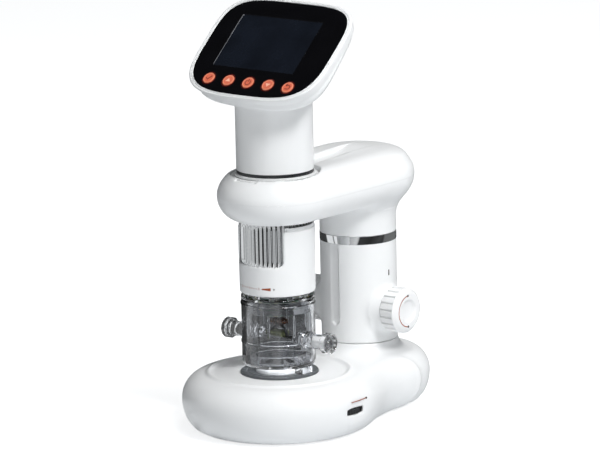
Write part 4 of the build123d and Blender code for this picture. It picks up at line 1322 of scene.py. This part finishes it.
def dress_cad_nodes():
    """Every CAD piece that still shows takes the finish of its material slot."""
    slots = {part["node"]: part["material_slot"] for part in frame["record"]["subparts"]}
    for name, node in frame["nodes"].items():
        if node.hide_render:
            continue
        material = CAD_FINISH[slots[name]]
        for i in range(len(node.data.materials)):
            node.data.materials[i] = material
        if not node.data.materials:
            node.data.materials.append(material)


dress_cad_nodes()


# ---------------------------------------------------------------- stage, camera and light
def compass_light(tree, vector, levels, strength):
    """Brightness over the compass: studio flags and soft boxes round the object."""
    split = tree.nodes.new("ShaderNodeSeparateXYZ")
    tree.links.new(vector, split.inputs["Vector"])
    compass = tree.nodes.new("ShaderNodeMath")
    compass.operation = "ARCTAN2"
    tree.links.new(split.outputs["Y"], compass.inputs[0])
    tree.links.new(split.outputs["X"], compass.inputs[1])
    turn = tree.nodes.new("ShaderNodeMapRange")
    turn.inputs["From Min"].default_value = -pi
    turn.inputs["From Max"].default_value = pi
    tree.links.new(compass.outputs["Value"], turn.inputs["Value"])
    ramp = tree.nodes.new("ShaderNodeValToRGB")
    tree.links.new(turn.outputs["Result"], ramp.inputs["Fac"])
    stops = ramp.color_ramp.elements
    for i, (place, level) in enumerate(levels):
        stop = stops[i] if i < 2 else stops.new(place / 360)
        stop.position = place / 360
        stop.color = (level * 0.97, level * 0.99, level, 1)
    scale = tree.nodes.new("ShaderNodeVectorMath")
    scale.operation = "SCALE"
    scale.inputs["Scale"].default_value = strength
    tree.links.new(ramp.outputs["Color"], scale.inputs[0])
    return scale.outputs["Vector"]


# compass place in degrees from -X, turning from -Y to +X, and how bright the studio is there
STUDIO = [(0, 0.05), (16, 0.06), (21, 0.95), (45, 0.95), (47, 0.25), (50, 0.25), (52, 1.0), (63, 1.0),
          (65, 0.08), (69, 0.08), (71, 1.0), (80, 0.95), (82, 0.35), (108, 0.55), (126, 0.75), (131, 0.62),
          (135, 0.05),
          (170, 0.03), (200, 0.07), (212, 0.05), (218, 0.18), (262, 0.2), (300, 0.06), (345, 0.05)]
# the same compass for the light on matt surfaces: dim on the left of the object, bright on its right
SOFT_STUDIO = [(0, 0.22), (60, 0.36), (110, 0.75), (150, 0.9), (200, 0.7), (260, 0.5), (320, 0.3),
               (359, 0.22)]


def only_for(tree, ray, plain, mirrored):
    """plain, or mirrored for rays that come off a shiny surface."""
    path = tree.nodes.new("ShaderNodeLightPath")
    choose = tree.nodes.new("ShaderNodeMixShader")
    tree.links.new(path.outputs[ray], choose.inputs["Fac"])
    tree.links.new(plain, choose.inputs[1])
    tree.links.new(mirrored, choose.inputs[2])
    return choose.outputs["Shader"]


def make_world():
    world = bpy.data.worlds.new("studio")
    world.use_nodes = True
    tree = world.node_tree
    plain = tree.nodes["Background"]
    where = tree.nodes.new("ShaderNodeTexCoord")
    tree.links.new(compass_light(tree, where.outputs["Generated"], SOFT_STUDIO, 0.4), plain.inputs["Color"])
    mirrored = tree.nodes.new("ShaderNodeBackground")
    tree.links.new(compass_light(tree, where.outputs["Generated"], STUDIO, 0.9), mirrored.inputs["Color"])
    through = tree.nodes.new("ShaderNodeBackground")
    through.inputs["Color"].default_value = (0.9, 0.92, 0.94, 1)
    soft = only_for(tree, "Is Transmission Ray", plain.outputs["Background"], through.outputs["Background"])
    out = only_for(tree, "Is Glossy Ray", soft, mirrored.outputs["Background"])
    tree.links.new(out, tree.nodes["World Output"].inputs["Surface"])
    bpy.context.scene.world = world


def make_floor():
    material = bpy.data.materials.new("floor_paper")
    material.use_nodes = True
    tree = material.node_tree
    tree.nodes.remove(tree.nodes["Principled BSDF"])
    paper = tree.nodes.new("ShaderNodeBsdfDiffuse")
    paper.inputs["Color"].default_value = (0.86, 0.88, 0.90, 1)
    glow = tree.nodes.new("ShaderNodeEmission")
    glow.inputs["Strength"].default_value = 0.7
    lit = tree.nodes.new("ShaderNodeAddShader")
    tree.links.new(paper.outputs["BSDF"], lit.inputs[0])
    tree.links.new(glow.outputs["Emission"], lit.inputs[1])
    where = tree.nodes.new("ShaderNodeNewGeometry")
    mirrored = tree.nodes.new("ShaderNodeEmission")
    tree.links.new(compass_light(tree, where.outputs["Position"], STUDIO, 0.9), mirrored.inputs["Color"])
    matt = only_for(tree, "Is Diffuse Ray", lit.outputs["Shader"], paper.outputs["BSDF"])
    out = only_for(tree, "Is Glossy Ray", matt, mirrored.outputs["Emission"])
    tree.links.new(out, tree.nodes["Material Output"].inputs["Surface"])
    mesh = bpy.data.meshes.new("floor")
    reach = 30.0
    mesh.from_pydata([(-reach, -reach, 0), (reach, -reach, 0), (reach, reach, 0), (-reach, reach, 0)], [],
                     [(0, 1, 2, 3)])
    mesh.materials.append(material)
    floor = bpy.data.objects.new("floor", mesh)
    bpy.context.scene.collection.objects.link(floor)


def aim(thing, place, target):
    thing.location = place
    thing.rotation_mode = "QUATERNION"
    thing.rotation_quaternion = (Vector(target) - Vector(place)).to_track_quat("-Z", "Y")


def soft_light(name, place, size, power, colour=(1, 1, 1), target=(0, 0, 0.12)):
    light = bpy.data.lights.new(name, "AREA")
    light.shape = "RECTANGLE"
    light.size, light.size_y = size
    light.energy = power
    light.color = colour
    holder = bpy.data.objects.new(name, light)
    bpy.context.scene.collection.objects.link(holder)
    aim(holder, place, target)
    return holder


def make_camera():
    """Long lens, from the object's front right and a little above it, turned slightly about its own axis."""
    azimuth, elevation, roll = radians(39.39), radians(11.834), radians(-1.21)
    back = Vector((sin(azimuth) * cos(elevation), -cos(azimuth) * cos(elevation), sin(elevation)))
    level = Vector((cos(azimuth), sin(azimuth), 0))
    up = back.cross(level)
    right = level * cos(roll) + up * sin(roll)
    up = up * cos(roll) - level * sin(roll)
    data = bpy.data.cameras.new("camera")
    data.lens = 270
    data.sensor_width = 36
    data.clip_end = 100
    camera = bpy.data.objects.new("camera", data)
    bpy.context.scene.collection.objects.link(camera)
    turn = Matrix((right, up, back)).transposed().to_4x4()
    camera.matrix_world = Matrix.Translation((1.62797, -1.99106, 0.65360)) @ turn
    bpy.context.scene.camera = camera


make_world()
make_floor()
make_camera()
soft_light("key", (0.96, -0.21, 1.12), (0.3, 0.3), 12.0)
soft_light("steep", (0.55, -0.12, 1.4), (0.42, 0.42), 5.5)
soft_light("top", (0.15, 0.1, 1.35), (0.6, 0.6), 1.6)
soft_light("front", (0.75, -1.3, 0.5), (0.8, 0.6), 1.0)
bpy.context.scene.view_settings.view_transform = "Standard"
